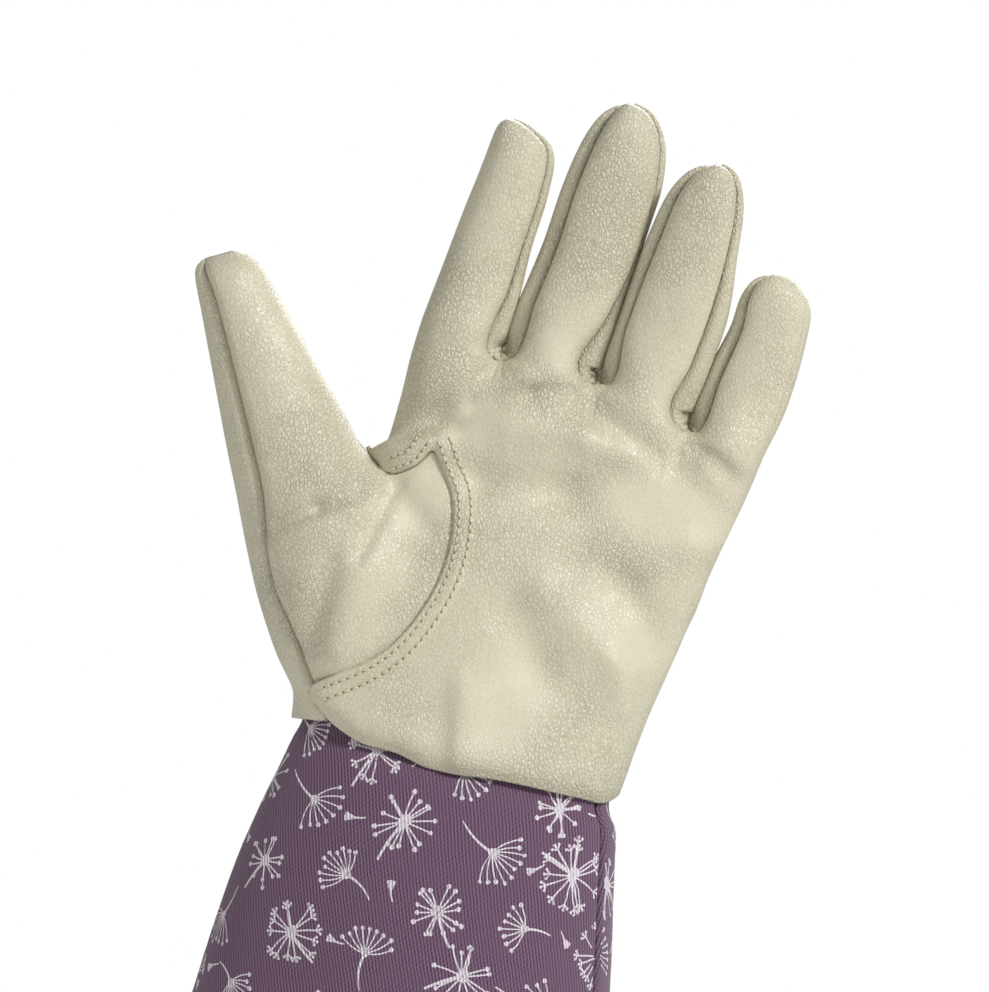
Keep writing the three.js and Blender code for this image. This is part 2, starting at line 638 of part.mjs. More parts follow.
// Palm panel: the whole palm, the fronts of the four fingers and the web round the thumb hole.
function palmPanel() {
  const target = sheet();
  addFingers(target, -1);
  const half = COLUMNS / 2;
  const crotchPoint = fingerPoint(0, 0, 1, -1);
  const onPalm = ([x, z]) => [x, -handDepth(x, z, -1) - folds(x, z), z];
  const flap = [...WEB_FLAP].reverse().map(([a, b]) => onPalm(fromThumb(a, b)));
  // The index finger's foot: the first half lies on the thumb hole's edge, the rest reaches the crotch.
  const foot = Array.from({ length: COLUMNS + 1 }, (_, i) => {
    if (i === 0) return WEB[0];
    if (i <= half) return flap[i];
    const angle = radians(((i - half) / half) * 90);
    const x = mix(flap[half][0], crotchPoint[0], Math.sin(angle) ** FOOT_POWERS.across);
    const z = mix(flap[half][2], crotchPoint[2], Math.sin(angle) ** FOOT_POWERS.up);
    return [x, mix(crotchPoint[1], onPalm([x, z])[1], Math.cos(angle) ** ROUNDNESS), z];
  });
  addGrid(target, COLUMNS, WEB.length, (i, j) => {
    if (j === 0) return foot[i];
    const start = fingerPoint(0, ALONG[1], -1, -1);
    const top = fingerPoint(0, ALONG[1], (i / COLUMNS) * 2 - 1, -1);
    if (j === WEB.length) return top;
    const rise = j / WEB.length;
    const across = (1 - i / COLUMNS) ** 2;
    const [x, y, z] = foot[i].map((value, n) =>
      mix(value, top[n], rise) + (WEB[j][n] - mix(foot[0][n], start[n], rise)) * across);
    const onFold = i > 0 && i < COLUMNS ? folds(x, z) : 0;
    return [x, y - onFold, z];
  });
  const crotch = foot.slice(half);
  for (let index = 1; index < FINGERS.length; index += 1) {
    for (let i = 1; i <= COLUMNS; i += 1) crotch.push(fingerPoint(index, 0, (i / COLUMNS) * 2 - 1, -1));
  }
  addHand(target, PALM_LEFT, PALM_HEM, crotch, 2 * (PALM_LEFT.length - 1), -1);
  return panel('palm_panel', target, (p) => p.z > FINGERS_START || p.x > OUTER_SIDE);
}

// Back panel: the back of the hand and of the four fingers.
function backPanel() {
  const target = sheet();
  addFingers(target, 1);
  const crotch = [];
  FINGERS.forEach((_, index) => {
    for (let i = index === 0 ? 0 : 1; i <= COLUMNS; i += 1) {
      crotch.push(fingerPoint(index, 0, (i / COLUMNS) * 2 - 1, 1));
    }
  });
  const web = [BACK_CORNER, ...WEB.slice(WEB_TOP + 1)].map(([x, y, z]) => [x, z, y]);
  const seam = THUMB_BACK_SEAM.slice(0, -1).map(([a, b]) => fromThumb(a, b));
  const foot = Array.from({ length: HEM_ROWS - 1 }, (_, n) =>
    BACK_HEM[0].map((value, k) => mix(value, seam[0][k], (n + 1) / HEM_ROWS)));
  const left = [BACK_HEM[0], ...foot, ...seam, ...web, [crotch[0][0], crotch[0][2], crotch[0][1]]];
  addHand(target, left, BACK_HEM, crotch, left.length - 1, 1);
  return panel('back_panel', target, (p) => p.z > FINGERS_START || p.x > OUTER_SIDE);
}

// The strip between two fingers, from one tip down to the crotch and up to the other tip.
// It bulges out of the fingers, but not past the middle line of the gap between them.
function sideStrip(name, index) {
  const places = [...ALONG.slice(0, -1), STRIP_END - STRIP_BLUNT];
  const station = (finger, t, side) => {
    const { seams, edge, lean, bulges } = fingerSection(finger, t);
    const [x, z] = seams[side];
    const bulge = bulges[side] * Math.sqrt(1 - t ** BULGE_FADE);
    return { x, z, edge, lean, bulge, toMiddle: side === 1 ? 1 : -1 };
  };
  const path = [
    ...[...places].reverse().map((t) => station(FINGERS[index], t, 1)),
    ...places.slice(1).map((t) => station(FINGERS[index + 1], t, 0)),
  ];
  const [crotchX, crotchZ, partX, partZ] = TOUCHING[index];
  const gap = Math.hypot(partX - crotchX, partZ - crotchZ);
  const middle = [(partZ - crotchZ) / gap, (crotchX - partX) / gap]; // square to the gap's middle line
  const target = sheet();
  addGrid(target, path.length - 1, STRIP_LAYERS, (i, j) => {
    const here = path[i];
    const before = path[Math.max(0, i - 1)];
    const after = path[Math.min(path.length - 1, i + 1)];
    const length = Math.hypot(after.x - before.x, after.z - before.z);
    const outwards = [-(after.z - before.z) / length, (after.x - before.x) / length];
    const closing = (outwards[0] * middle[0] + outwards[1] * middle[1]) * here.toMiddle;
    const offset = (here.x - crotchX) * middle[0] + (here.z - crotchZ) * middle[1];
    const free = -offset * here.toMiddle - STRIP_CLEARANCE;
    const isCrotch = i === places.length - 1;
    const bulge = isCrotch || closing <= 0 ? here.bulge : Math.min(here.bulge, free / closing);
    const v = (j / STRIP_LAYERS) * 2 - 1;
    const out = bulge * (1 - v ** STRIP_PROFILE.flatness) ** STRIP_PROFILE.roundness;
    return [here.x + outwards[0] * out, here.lean + v * here.edge, here.z + outwards[1] * out];
  });
  return panel(name, target, () => true);
}

// A point of the thumb's upper part: place along it, angle round it from the middle of its front.
function thumbPoint(a, angle) {
  const section = thumbSection(a);
  const b = section.middle + section.half * Math.sin(angle);
  const [x, z] = fromThumb(a, b);
  const side = Math.cos(angle) >= 0 ? -1 : 1;
  return [x, side * thumbDepth(a, b, side) - (side < 0 ? folds(x, z) : 0), z];
}
const outerSeamAngle = (a) => {
  const section = thumbSection(a);
  return -Math.asin((section.middle - section.seam) / section.half);
};
const innerSeamAngle = (a) => radians(rowAt(THUMB_INNER_SEAM, a)[1]);
const nearThumbTip = (p) => toThumb(p.x, p.z)[0] > THUMB_TIP;

// Mesh rows: places along the thumb, and places along its outer seam beside the thumb hole.
const THUMB_ROWS = [THUMB_ROOT, 58, 62, 68, 76, 84, 92, 101, 110, 115.5, 119.4, 122.6, 124.6, THUMB_LENGTH];
const ROOT_COUNT = 9;
const ROOT_ROWS = Array.from({ length: ROOT_COUNT + 1 }, (_, j) =>
  mix(THUMB_HOLE[0][0], THUMB_ROOT, j / ROOT_COUNT));
const WEB_END = 62; // beyond this place the thumb's front and back meet along the inner seam
const TUCK = 0.2; // along the web the thumb stays this far inside the hole's edge
const SEAM_TRIM = 0.012; // the same as an angle round the thumb
const BLUNT_CORNER = 0.04; // share of the hole's edge by which the thumb's lowest corner is cut blunt
// The lap under the hole's edge, as shares of that edge: it widens from the lowest corner over
// `fade`, narrows again before `end`, sinks over `sink` and comes up over the last `lift`.
const LAP_EASE = { fade: 0.2, end: 0.92, sink: 0.2, lift: 0.08, least: 0.5, flank: 0.6 };

// Front of the thumb: from the thumb hole's lower corner to the tip, and round its inner side.
// Beside the hole it has more columns than above it; the rest end under the folded web.
function thumbFront() {
  const target = sheet();
  const wide = 9;
  const narrow = 6;
  const narrowShare = 0.7; // share of the width that the narrow columns take up
  const flap = [...WEB_FLAP].reverse();
  const under = LEATHER + 2 * SEAM_GAP; // depth of its edge below the palm panel's face
  const upper = (i, j) => {
    const a = j === 0 ? mix(THUMB_ROOT, WEB_FLAP[3][0], i / narrow) : THUMB_ROWS[j];
    const end = innerSeamAngle(a) - (a < WEB_END ? SEAM_TRIM : 0);
    return thumbPoint(a, mix(outerSeamAngle(a), end, i / narrow));
  };
  const lowered = (x, z, distance, depth) =>
    [x, -handDepth(x, z, -1) - folds(x, z) + depth * (1 - smooth((distance - LAP) / LAP_SLOPE)), z];
  addGrid(target, wide, ROOT_COUNT, (i, j) => {
    if (j === ROOT_COUNT && i <= narrow) return upper(i, 0);
    if (j === ROOT_COUNT) {
      const [a, b] = flap[i - narrow];
      return lowered(...fromThumb(a - TUCK, b - (i === wide ? TUCK : 0)), 0, under / 2);
    }
    const rise = Math.max(BLUNT_CORNER, j / ROOT_COUNT);
    const [holeA, holeB] = rowAtShare(THUMB_HOLE, rise);
    const seamA = mix(ROOT_ROWS[0], THUMB_ROOT, rise);
    const seamB = thumbSection(seamA).seam;
    const widened = smooth((rise - BLUNT_CORNER) / LAP_EASE.fade);
    const lapped = widened * smooth((LAP_EASE.end - rise) / LAP_EASE.fade);
    const inside = Math.max(seamB, holeB + mix(-TUCK, LAP, lapped));
    const share = i <= narrow
      ? (i / narrow) * narrowShare
      : mix(narrowShare, 1, (i - narrow) / (wide - narrow));
    const [x, z] = fromThumb(mix(seamA, holeA + TUCK * (1 - rise), share), mix(seamB, inside, share));
    const sunk = smooth(rise / LAP_EASE.sink) * smooth((1 - rise) / LAP_EASE.lift);
    const depth = under * smooth(share / LAP_EASE.flank) * mix(LAP_EASE.least, 1, sunk);
    return lowered(x, z, (1 - share) * (inside - seamB), depth);
  });
  addGrid(target, narrow, THUMB_ROWS.length - 1, upper);
  return panel('thumb_front', target, nearThumbTip);
}

// Back of the thumb: from the outer seam round the outer side to the seam on the back of the hand,
// and below it the narrow end that reaches the leather's lower edge.
function thumbBack() {
  const target = sheet();
  const columns = 8;
  const seamEnd = (a) => {
    const section = thumbSection(a);
    const b = rowAt(THUMB_BACK_SEAM, a)[1];
    return Math.asin(THREE.MathUtils.clamp((b - section.middle) / section.half, -1, 1));
  };
  const places = [...ROOT_ROWS.slice(0, -1), ...THUMB_ROWS];
  const above = (i, j) => {
    const a = places[j];
    const end = a >= WEB_END ? Math.PI - innerSeamAngle(a) : seamEnd(a);
    const trimmed = end - (a <= WEB_END ? SEAM_TRIM : 0);
    return thumbPoint(a, Math.PI - mix(-outerSeamAngle(a) - Math.PI, trimmed, i / columns));
  };
  addGrid(target, columns, places.length - 1, above, true);
  const hemOut = 9.6; // how far the lower edge curves outwards, and down
  const hemDown = 1.0;
  const hemBelly = 0.7; // power of that curve: below 1 it bellies out early
  const sideLine = 0.42; // share of the width where the outline lies
  addGrid(target, columns, HEM_ROWS, (i, j) => {
    const top = above(i, 0);
    if (j === HEM_ROWS) return top;
    const share = i / columns;
    const arc = Math.sin(share * Math.PI);
    const low = [
      mix(PALM_HEM[0][0], BACK_HEM[0][0], share) - hemOut * arc ** hemBelly,
      mix(PALM_HEM[0][1], BACK_HEM[0][1], share) - hemDown * arc,
    ];
    const rise = j / HEM_ROWS;
    const [x, z] = [0, 1].map((n) => {
      const straight = mix(low[n], [top[0], top[2]][n], rise);
      const off = wristSeam(rise)[n] - mix(wristSeam(0)[n], wristSeam(1)[n], rise);
      return straight + off * (1 - share) ** 3;
    });
    const side = share < sideLine ? -1 : 1;
    const surface = handDepth(x, z, side) + (side < 0 ? folds(x, z) : 0);
    return [x, mix(side * surface, top[1], rise ** 3), z];
  }, true);
  return panel('thumb_back', target, nearThumbTip);
}

// Half of the sleeve, between two angles round it.
function sleeveHalf(name, from, to) {
  const target = sheet();
  const columns = 16;
  addGrid(target, columns, SLEEVE_ROWS.length - 1, (i, j) => {
    const z = SLEEVE_ROWS[j];
    const [, left, right, palmDepth, backDepth] = rowAt(SLEEVE, z);
    const angle = radians(mix(from, to, i / columns));
    const wave = SLEEVE_WAVES.height * smooth(-z / SLEEVE_WAVES.fadeIn)
      * Math.sin(SLEEVE_WAVES.count * angle + SLEEVE_WAVES.turn) * Math.sin(-z / SLEEVE_WAVES.length);
    const reach = (right - left) / 2 + wave;
    const depth = (Math.cos(angle) >= 0 ? palmDepth : backDepth) + wave;
    const x = (left + right) / 2 + reach * signedPower(Math.sin(angle), SLEEVE_SQUARENESS);
    return [x, -depth * signedPower(Math.cos(angle), SLEEVE_SQUARENESS), z];
  });
  const stepRow = (SLEEVE_ROWS[1] + SLEEVE_ROWS[2]) / 2; // the hem's upper edge lies between these two
  const wallAt = (p) => (p.z < stepRow ? CUFF_HEM : CLOTH);
  const mesh = new THREE.Mesh(shell(target, wallAt, () => false), clothMaterial());
  mesh.name = name;
  return mesh;
}

const glove = new THREE.Group();
glove.add(palmPanel());
glove.add(backPanel());
glove.add(sideStrip('side_strip_index_middle', 0));
glove.add(sideStrip('side_strip_middle_ring', 1));
glove.add(sideStrip('side_strip_ring_little', 2));
glove.add(thumbFront());
glove.add(thumbBack());
glove.add(sleeveHalf('sleeve_front', SLEEVE_SEAMS[0], SLEEVE_SEAMS[1]));
glove.add(sleeveHalf('sleeve_back', SLEEVE_SEAMS[1], 360 + SLEEVE_SEAMS[0]));

export default glove;
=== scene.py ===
import math

import bpy
import numpy as np
from mathutils import Matrix, Vector
from mathutils.bvhtree import BVHTree
from mathutils.kdtree import KDTree


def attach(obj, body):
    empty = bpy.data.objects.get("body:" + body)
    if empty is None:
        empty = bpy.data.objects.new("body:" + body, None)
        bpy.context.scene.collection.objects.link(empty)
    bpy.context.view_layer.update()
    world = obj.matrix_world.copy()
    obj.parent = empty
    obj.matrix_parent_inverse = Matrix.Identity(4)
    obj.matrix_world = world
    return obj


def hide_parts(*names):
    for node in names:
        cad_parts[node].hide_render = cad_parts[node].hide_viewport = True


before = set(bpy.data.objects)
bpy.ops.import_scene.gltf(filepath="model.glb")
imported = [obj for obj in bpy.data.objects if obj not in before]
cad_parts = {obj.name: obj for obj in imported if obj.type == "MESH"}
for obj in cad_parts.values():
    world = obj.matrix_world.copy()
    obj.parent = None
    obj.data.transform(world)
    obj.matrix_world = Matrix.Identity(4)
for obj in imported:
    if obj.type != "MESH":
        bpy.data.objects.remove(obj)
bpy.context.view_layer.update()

# Camera, floor and light
# A level view of the palm from straight in front, rolled so that the hand leans to the right.
# Pale floor and soft studio light, brighter from the upper right.

VIEW_ROLL = math.radians(16)
VIEW_TARGET = Vector((-0.0113, 0, 0.0766))
VIEW_DISTANCE = 2.5
VIEW_WIDTH = 0.2769  # metres across the picture at the glove
FLOOR_REACH = 1.5
FLOOR_LEVEL = -0.62
SKY_LIGHT = 0.36  # the white room lights the glove with this share of what the camera sees of it

right = Vector((math.cos(VIEW_ROLL), 0, math.sin(VIEW_ROLL)))
up = Vector((-math.sin(VIEW_ROLL), 0, math.cos(VIEW_ROLL)))
back = Vector((0, -1, 0))
camera = bpy.data.objects.new("camera", bpy.data.cameras.new("camera"))
camera.data.sensor_fit = "HORIZONTAL"
camera.data.lens = camera.data.sensor_width * VIEW_DISTANCE / VIEW_WIDTH
camera.data.clip_end = 50
camera.matrix_world = Matrix.Translation(VIEW_TARGET + back * VIEW_DISTANCE) @ Matrix(
    [(right[k], up[k], back[k], 0) for k in range(3)] + [(0, 0, 0, 1)]
)
bpy.context.scene.collection.objects.link(camera)
bpy.context.scene.camera = camera


def linear(code):
    """Turns an sRGB hex colour into the linear values that a shader takes."""
    parts = [int(code[k:k + 2], 16) / 255 for k in (1, 3, 5)]
    return [c / 12.92 if c <= 0.04045 else ((c + 0.055) / 1.055) ** 2.4 for c in parts] + [1.0]


def add(tree, kind, inputs=None, **settings):
    """Adds a node with its settings; an input is a value or the socket that feeds it."""
    node = tree.nodes.new(kind)
    for name, value in settings.items():
        setattr(node, name, value)
    for key, value in (inputs or {}).items():
        if isinstance(value, bpy.types.NodeSocket):
            tree.links.new(value, node.inputs[key])
        else:
            node.inputs[key].default_value = value
    return node


def new_material(name):
    """Makes a material and gives it back with its node tree and its surface shader."""
    material = bpy.data.materials.new(name)
    material.use_nodes = True
    return material, material.node_tree, material.node_tree.nodes["Principled BSDF"]


# Matt white paint: even and without gloss, with a trace of mottle over 30 cm
floor_paint, tree, surface = new_material("matt_white_studio_paint")
mottle = add(tree, "ShaderNodeTexNoise", {"Scale": 3.0, "Detail": 4.0})
tint = add(tree, "ShaderNodeMix", {0: mottle.outputs["Fac"], 6: linear("#F4F4F2"), 7: linear("#EFEFED")},
           data_type="RGBA")
tree.links.new(tint.outputs[2], surface.inputs["Base Color"])
surface.inputs["Roughness"].default_value = 0.9
floor_mesh = bpy.data.meshes.new("floor")
corners = [(x * FLOOR_REACH, y * FLOOR_REACH, FLOOR_LEVEL) for x, y in ((-1, -1), (1, -1), (1, 1), (-1, 1))]
floor_mesh.from_pydata(corners, [], [(0, 1, 2, 3)])
floor = bpy.data.objects.new("floor", floor_mesh)
floor_mesh.materials.append(floor_paint)
bpy.context.scene.collection.objects.link(floor)

world = bpy.data.worlds.new("studio")
bpy.context.scene.world = world
world.use_nodes = True
sky = world.node_tree.nodes["Background"]
sky.inputs["Color"].default_value = (1, 1, 1, 1)
seen = add(world.node_tree, "ShaderNodeLightPath")
glow = add(world.node_tree, "ShaderNodeMapRange",
           {"Value": seen.outputs["Is Camera Ray"], "To Min": SKY_LIGHT, "To Max": 1.0})
world.node_tree.links.new(glow.outputs["Result"], sky.inputs["Strength"])
bpy.context.scene.view_settings.view_transform = "Standard"

# Place of each light, its size in metres and its power in watts
LIGHTS = [
    ((1.05, -1.2, 1.45), 0.4, 35),
    ((1.9, -0.5, -0.5), 0.7, 5),
    ((-1.4, -1.2, 0.2), 1.2, 5.5),
    ((0.2, 1.3, 0.9), 1.0, 12),
]
for place, size, power in LIGHTS:
    lamp = bpy.data.lights.new("softbox", "AREA")
    lamp.size = size
    lamp.energy = power
    holder = bpy.data.objects.new("softbox", lamp)
    holder.location = place
    holder.rotation_euler = (VIEW_TARGET - Vector(place)).to_track_quat("-Z", "Y").to_euler()
    bpy.context.scene.collection.objects.link(holder)

# Palm panel
# One piece of coated synthetic leather: the palm and the fronts of the four fingers. It wraps over
# the index finger's side and the web. Round the thumb hole its edge is folded under and sewn down
# with two rows of stitches; everywhere else it is joined to its neighbours by turned seams.

# Sizes in millimetres; the mesh of each piece is turned to metres at the end
LEATHER = 1.4  # wall
BODY_SQUARENESS = 2.5  # power of the hand's section; 2 is an ellipse
BACK_SHARE = 0.92  # depth of the thumb's back as a share of its front
PAST_EDGE = 2  # how steeply a section's depth falls away past its edge
ROOT_BLEND = 3  # softness of the line where the thumb's root meets the hand
KNUCKLE_DEPTH = 14  # half the thickness where the fingers leave the palm
KNUCKLE_SHARE = 0.35  # share of a finger's length over which it thins down to its own depth
KNUCKLE_REACH = 24  # height below the crotches in which the hand takes on the fingers' shape
KNUCKLE_POWER = 5  # keeps that close to the crotches
SIDE_STRIP = 5.2  # half the width of the strip between the fingers
STRIP_END = 0.975  # share of a finger's length where the strip runs out
STRIP_TAPER = 0.25  # share of a finger's length over which the strip narrows
TIP_DEPTH = 1.0  # half the thickness left at a finger tip
TIP_START = 0.74  # share of a finger's length where its tip begins to round off
WRAP_END = 0.7  # share of a finger's length where the wraps round its sides begin to fade
WRAP_FADE = 0.14  # and the share over which they do
THUMB_CURL = 2  # how far the thumb's tip leans towards the palm side
CURL_POWER = 1.5  # thumb and fingers bend more towards their tips
INDEX_WRAP = 115  # degrees that the panel wraps round the index finger
INDEX_START = 0.03  # share of the index finger's length where the panel's web begins
LITTLE_WRAP = 0.2  # how far the back comes round the little finger, as a share of its width
ROUNDNESS = 0.85  # below 1 a section is a little squarer than an ellipse
RISE_POWER = 2.2  # how soon the hand's rows bend towards the row of crotches
FOOT_POWER = 4  # and how soon they leave the curve of the lower edge
FINE = 40  # mesh columns across one finger
FINGER_ROWS = 84
ROW_CROWDING = 0.95  # below 1 the rows are closer near the tips
HAND_ROWS = 110
EVEN_ROUNDS = 16  # rounds of smoothing that a sheet gets
TO_METRES = 0.001

# Each finger: share of its length, x and z of its left seam, x and z of its right seam, and how far
# the strips of leather beside it bulge out
FINGERS = [
    {"rows": [
        [0.00, -44.6, 98.5, -20.3, 113.6, 0, 2.4],
        [0.03, -44.5, 100.9, -22.5, 114.2, 0, 3.0],
        [0.09, -44.9, 105.8, -24.1, 118.3, 0, 4.2],
        [0.25, -44.6, 118.9, -23.2, 130.7, 0, 3.4],
        [0.45, -43.2, 135.2, -22.6, 146.3, 0, 2.2],
        [0.65, -41.8, 151.4, -22.0, 161.8, 0, 2.0],
        [0.80, -40.4, 163.6, -23.4, 173.3, 0, 1.8],
        [0.90, -39.7, 171.7, -29.4, 177.4, 0, 1.4],
        [0.96, -39.1, 176.6, -33.9, 179.1, 0, 1.0],
        [1.00, -37.4, 178.8, -37.4, 178.8, 0, 1.0]],
     "depth": 11, "curl": 9},
    {"rows": [
        [0.00, -20.3, 113.6, 7.4, 113.4, 2.4, 2.4],
        [0.03, -18.3, 114.9, 4.8, 114.0, 3.0, 3.5],
        [0.09, -17.1, 119.5, 2.1, 118.6, 4.2, 5.6],
        [0.25, -15.5, 132.5, 5.4, 132.8, 4.2, 3.2],
        [0.45, -13.9, 148.7, 8.5, 150.7, 3.9, 1.6],
        [0.65, -13.3, 165.0, 8.7, 168.9, 3.8, 1.6],
        [0.80, -11.9, 177.2, 6.7, 182.4, 4.0, 1.6],
        [0.90, -10.1, 185.1, 2.1, 190.1, 4.2, 1.6],
        [0.96, -8.3, 189.6, -2.9, 192.3, 4.2, 1.6],
        [1.00, -6.5, 192.4, -6.5, 192.4, 4.2, 1.6]],
     "depth": 11.5, "curl": 10.5},
    {"rows": [
        [0.00, 7.4, 113.4, 34.9, 107.9, 2.4, 2.4],
        [0.03, 9.3, 114.5, 32.9, 109.3, 3.0, 3.5],
        [0.09, 10.5, 118.6, 30.4, 113.5, 3.2, 5.2],
        [0.25, 10.7, 130.3, 31.7, 126.5, 3.2, 5.2],
        [0.45, 11.6, 144.9, 32.9, 142.9, 3.2, 4.8],
        [0.65, 13.1, 159.5, 32.7, 159.4, 3.2, 2.8],
        [0.80, 14.4, 170.4, 31.5, 171.6, 3.0, 2.4],
        [0.90, 16.8, 177.2, 28.9, 179.4, 2.6, 2.2],
        [0.96, 19.7, 180.5, 25.2, 182.4, 2.4, 2.2],
        [1.00, 22.0, 182.2, 22.0, 182.2, 2.4, 2.2]],
     "depth": 11, "curl": 18},
    {"rows": [
        [0.00, 34.9, 107.9, 57.6, 101.3, 2.4, 0],
        [0.03, 36.3, 108.7, 57.7, 103.3, 2.6, 0],
        [0.09, 37.7, 111.4, 57.8, 107.2, 3.0, 0],
        [0.25, 39.1, 119.7, 58.6, 117.7, 3.4, 0],
        [0.45, 40.7, 130.2, 59.3, 130.8, 3.6, 0],
        [0.65, 42.0, 140.7, 59.0, 144.0, 3.0, 0],
        [0.80, 41.5, 148.6, 57.6, 153.6, 2.4, 0],
        [0.90, 42.5, 153.7, 52.9, 157.8, 2.0, 0],
        [0.96, 44.4, 156.2, 49.0, 158.2, 1.8, 0],
        [1.00, 46.0, 157.7, 46.0, 157.7, 1.8, 0]],
     "depth": 10, "curl": 6},
]
# Hand sections: height, left side, right side, depth to the palm, depth to the back
HAND = [
    [-2, -48.2, 44.6, 24.6, 23.4],
    [6, -49.2, 45.7, 24.2, 23.0],
    [16, -49.6, 46.2, 23.0, 21.6],
    [30, -49.6, 47.6, 21.2, 19.8],
    [50, -49.4, 50.6, 19.0, 18.2],
    [70, -48.2, 52.6, 17.2, 17.0],
    [85, -46.0, 55.5, 15.8, 16.2],
    [100, -44.6, 57.8, 14.6, 15.2],
    [120, -44.5, 59.0, 12.5, 13.5],
]
# Thumb sections: place along its axis, outline, outer seam, outline towards the index, half depth
THUMB = [
    [-12, -5.4, 6.4, 24, 15.5],
    [-5.5, -4.0, 4.6, 27, 16.5],
    [0, -1.6, 3.4, 29, 17.2],
    [12, -3.6, 1.8, 38, 20],
    [20, -4.3, 1.0, 43, 21.4],
    [30, -4.7, -0.7, 46, 22],
    [40, -4.4, -0.2, 46, 21.2],
    [50, -3.8, 1.8, 44.0, 18.6],
    [58, -3.2, 3.2, 37.6, 16.4],
    [70, -2.5, 3.8, 33.2, 14.6],
    [90, -0.9, 4.2, 28.2, 13],
    [110, 0.7, 4.3, 23.2, 11.6],
    [118, 1.3, 4.0, 21.1, 9.6],
    [121.5, 1.7, 4.0, 19.8, 7.4],
    [124.2, 2.6, 4.4, 17.6, 4.4],
    [125.4, 5.0, 5.9, 14.6, 1.2],
]
THUMB_LENGTH = THUMB[-1][0]
THUMB_FOOT = (-48, 8)
THUMB_TILT = math.radians(31)
THUMB_ROOT = 55
# The thumb hole's edge in the thumb's own frame, and its last stretch along the folded web
THUMB_HOLE = [[2.1, 3.3], [4.1, 19.6], [8.6, 31.0], [16.1, 40.8], [23.6, 47.5], [32.4, 52.4],
              [42.6, 55.4], [51.2, 54.6], [57.8, 54.0]]
WEB_FLAP = [[52.6, 39.9], [53.1, 44.4], [54.0, 49.0], [57.8, 54.0]]
# The outer side seam, the leather's lower edge in front, and the edge over the web (x, y, z)
SIDE_SEAM = [[45.5, 6.0], [46.1, 12.5], [47.4, 30.0], [50.4, 50.0], [52.5, 70.0], [55.2, 86.0],
             [57.6, 101.3]]
PALM_HEM = [[-37.6, 3.2], [-28.1, 0.4], [-17.1, 0.6], [-9.5, -1.3], [-2.2, -0.6], [12, 1.1], [29, 2.0],
            [38, 2.3], [42, 2.2], [45.5, 6.0]]
BACK_HEM = [[-41.0, 1.6], [0, 0.6], [36, 2.0], [45.5, 6.0]]
WEB = [[-40.9, -10.4, 73.6], [-46.8, -6.0, 76.1], [-51.0, -0.8, 78.2], [-45.6, 1.8, 80.2],
       [-44.1, 3.6, 83.4]]
# Folds of the palm side: x and z of both ends, half width to the left and to the right of the line
# from the first end to the second, height (below zero a crease)
FOLDS = [
    [-42.0, 82.0, -31.0, 88.2, 1.5, 5, 2.6],  # the folded web in front of the index finger
    [-43, 88.5, -32, 92.5, 9, 3, -4.6],
    [-40, 118, -26, 121, 4, 5, 1.3],
    [-24, 99, -9.8, 107.3, 2.2, 2.6, -1.2],  # creases under the finger roots
    [-9.8, 107.3, 1.5, 111.5, 2.2, 2.6, -1.1],
    [-24, 103.5, -12, 110.5, 2.5, 2.5, 0.9],
    [-12, 110.5, -3, 113, 2.5, 2.5, 0.7],
    [5, 108, 28, 100, 4, 4, -1.8],
    [-12, 96, 8, 99, 5, 5, 1.6],
    [8, 99, 27, 97, 4, 4, 1.2],
    [38, 107, 49, 101, 2.5, 3, -1.3],
    [44, 99, 52, 94, 4, 4, 0.9],
    [-28, 80, -16, 80, 5, 6, -1.3],  # broad hollow across the palm
    [-16, 80, 8, 83, 6, 7, -2.4],
    [8, 83, 36, 99, 6, 7, -2.3],
    [46, 78, 50, 62, 5, 5, 1.6],  # diagonal folds towards the heel of the hand
    [18, 67, 32, 62, 6, 7, -1.9],
    [32, 62, 44, 50, 6, 7, -2.3],
    [9, 55, 38, 38, 6, 6, 1.7],
    [3, 46, 14, 34, 7, 8, -1.5],
    [14, 34, 34, 21, 7, 8, -1.7],
    [33, 41, 40, 30, 4, 4, 1.1],
    [-5, 21, -1.5, 5, 8, 3.2, 2.0],
    [-41, 48, -42, 24, 5, 5, 1.3],  # folds of the thumb's root
    [-50, 46, -50, 22, 4, 4, -1.8],
    [-68, 52.5, -58, 60, 2.4, 2.4, -1.5],
    [-58, 60, -48, 66, 2.2, 2.2, -1.1],
    [-66, 47, -48, 61, 3.5, 3.5, 1.4],
    [-38.5, 71, -42.5, 50, 2.2, 3.2, -1.7],
    [-38, 70, -26, 62, 3, 3, -0.9],
    [-60, 70, -50, 66, 4, 4, 0.9],
]


def mix(a, b, t):
    """The value at share t of the way from a to b."""
    return a + (b - a) * t


def smooth(t):
    """Rises from 0 to 1 with a soft start and end."""
    t = np.clip(t, 0, 1)
    return t * t * (3 - 2 * t)


def row_at(table, place):
    """Reads a table at places given in its first column, on a smooth curve through its rows."""
    table = np.asarray(table, float)
    place = np.asarray(place, float)
    k = np.clip(np.searchsorted(table[:, 0], place) - 1, 0, len(table) - 2)
    low, high = table[k], table[k + 1]
    before, after = table[np.maximum(k - 1, 0)], table[np.minimum(k + 2, len(table) - 1)]
    span = (high - low)[..., :1]
    t = np.clip((place[..., None] - low[..., :1]) / span, 0, 1)
    slope_low = (high - before) / (high - before)[..., :1]
    slope_high = (after - low) / (after - low)[..., :1]
    return ((2 * t ** 3 - 3 * t ** 2 + 1) * low + (t ** 3 - 2 * t ** 2 + t) * span * slope_low
            + (3 * t ** 2 - 2 * t ** 3) * high + (t ** 3 - t ** 2) * span * slope_high)


def row_at_share(table, share):
    """Reads a table of even rows at a share of its length."""
    numbered = [[n / (len(table) - 1), *row] for n, row in enumerate(table)]
    return row_at(numbered, share)[..., 1:]


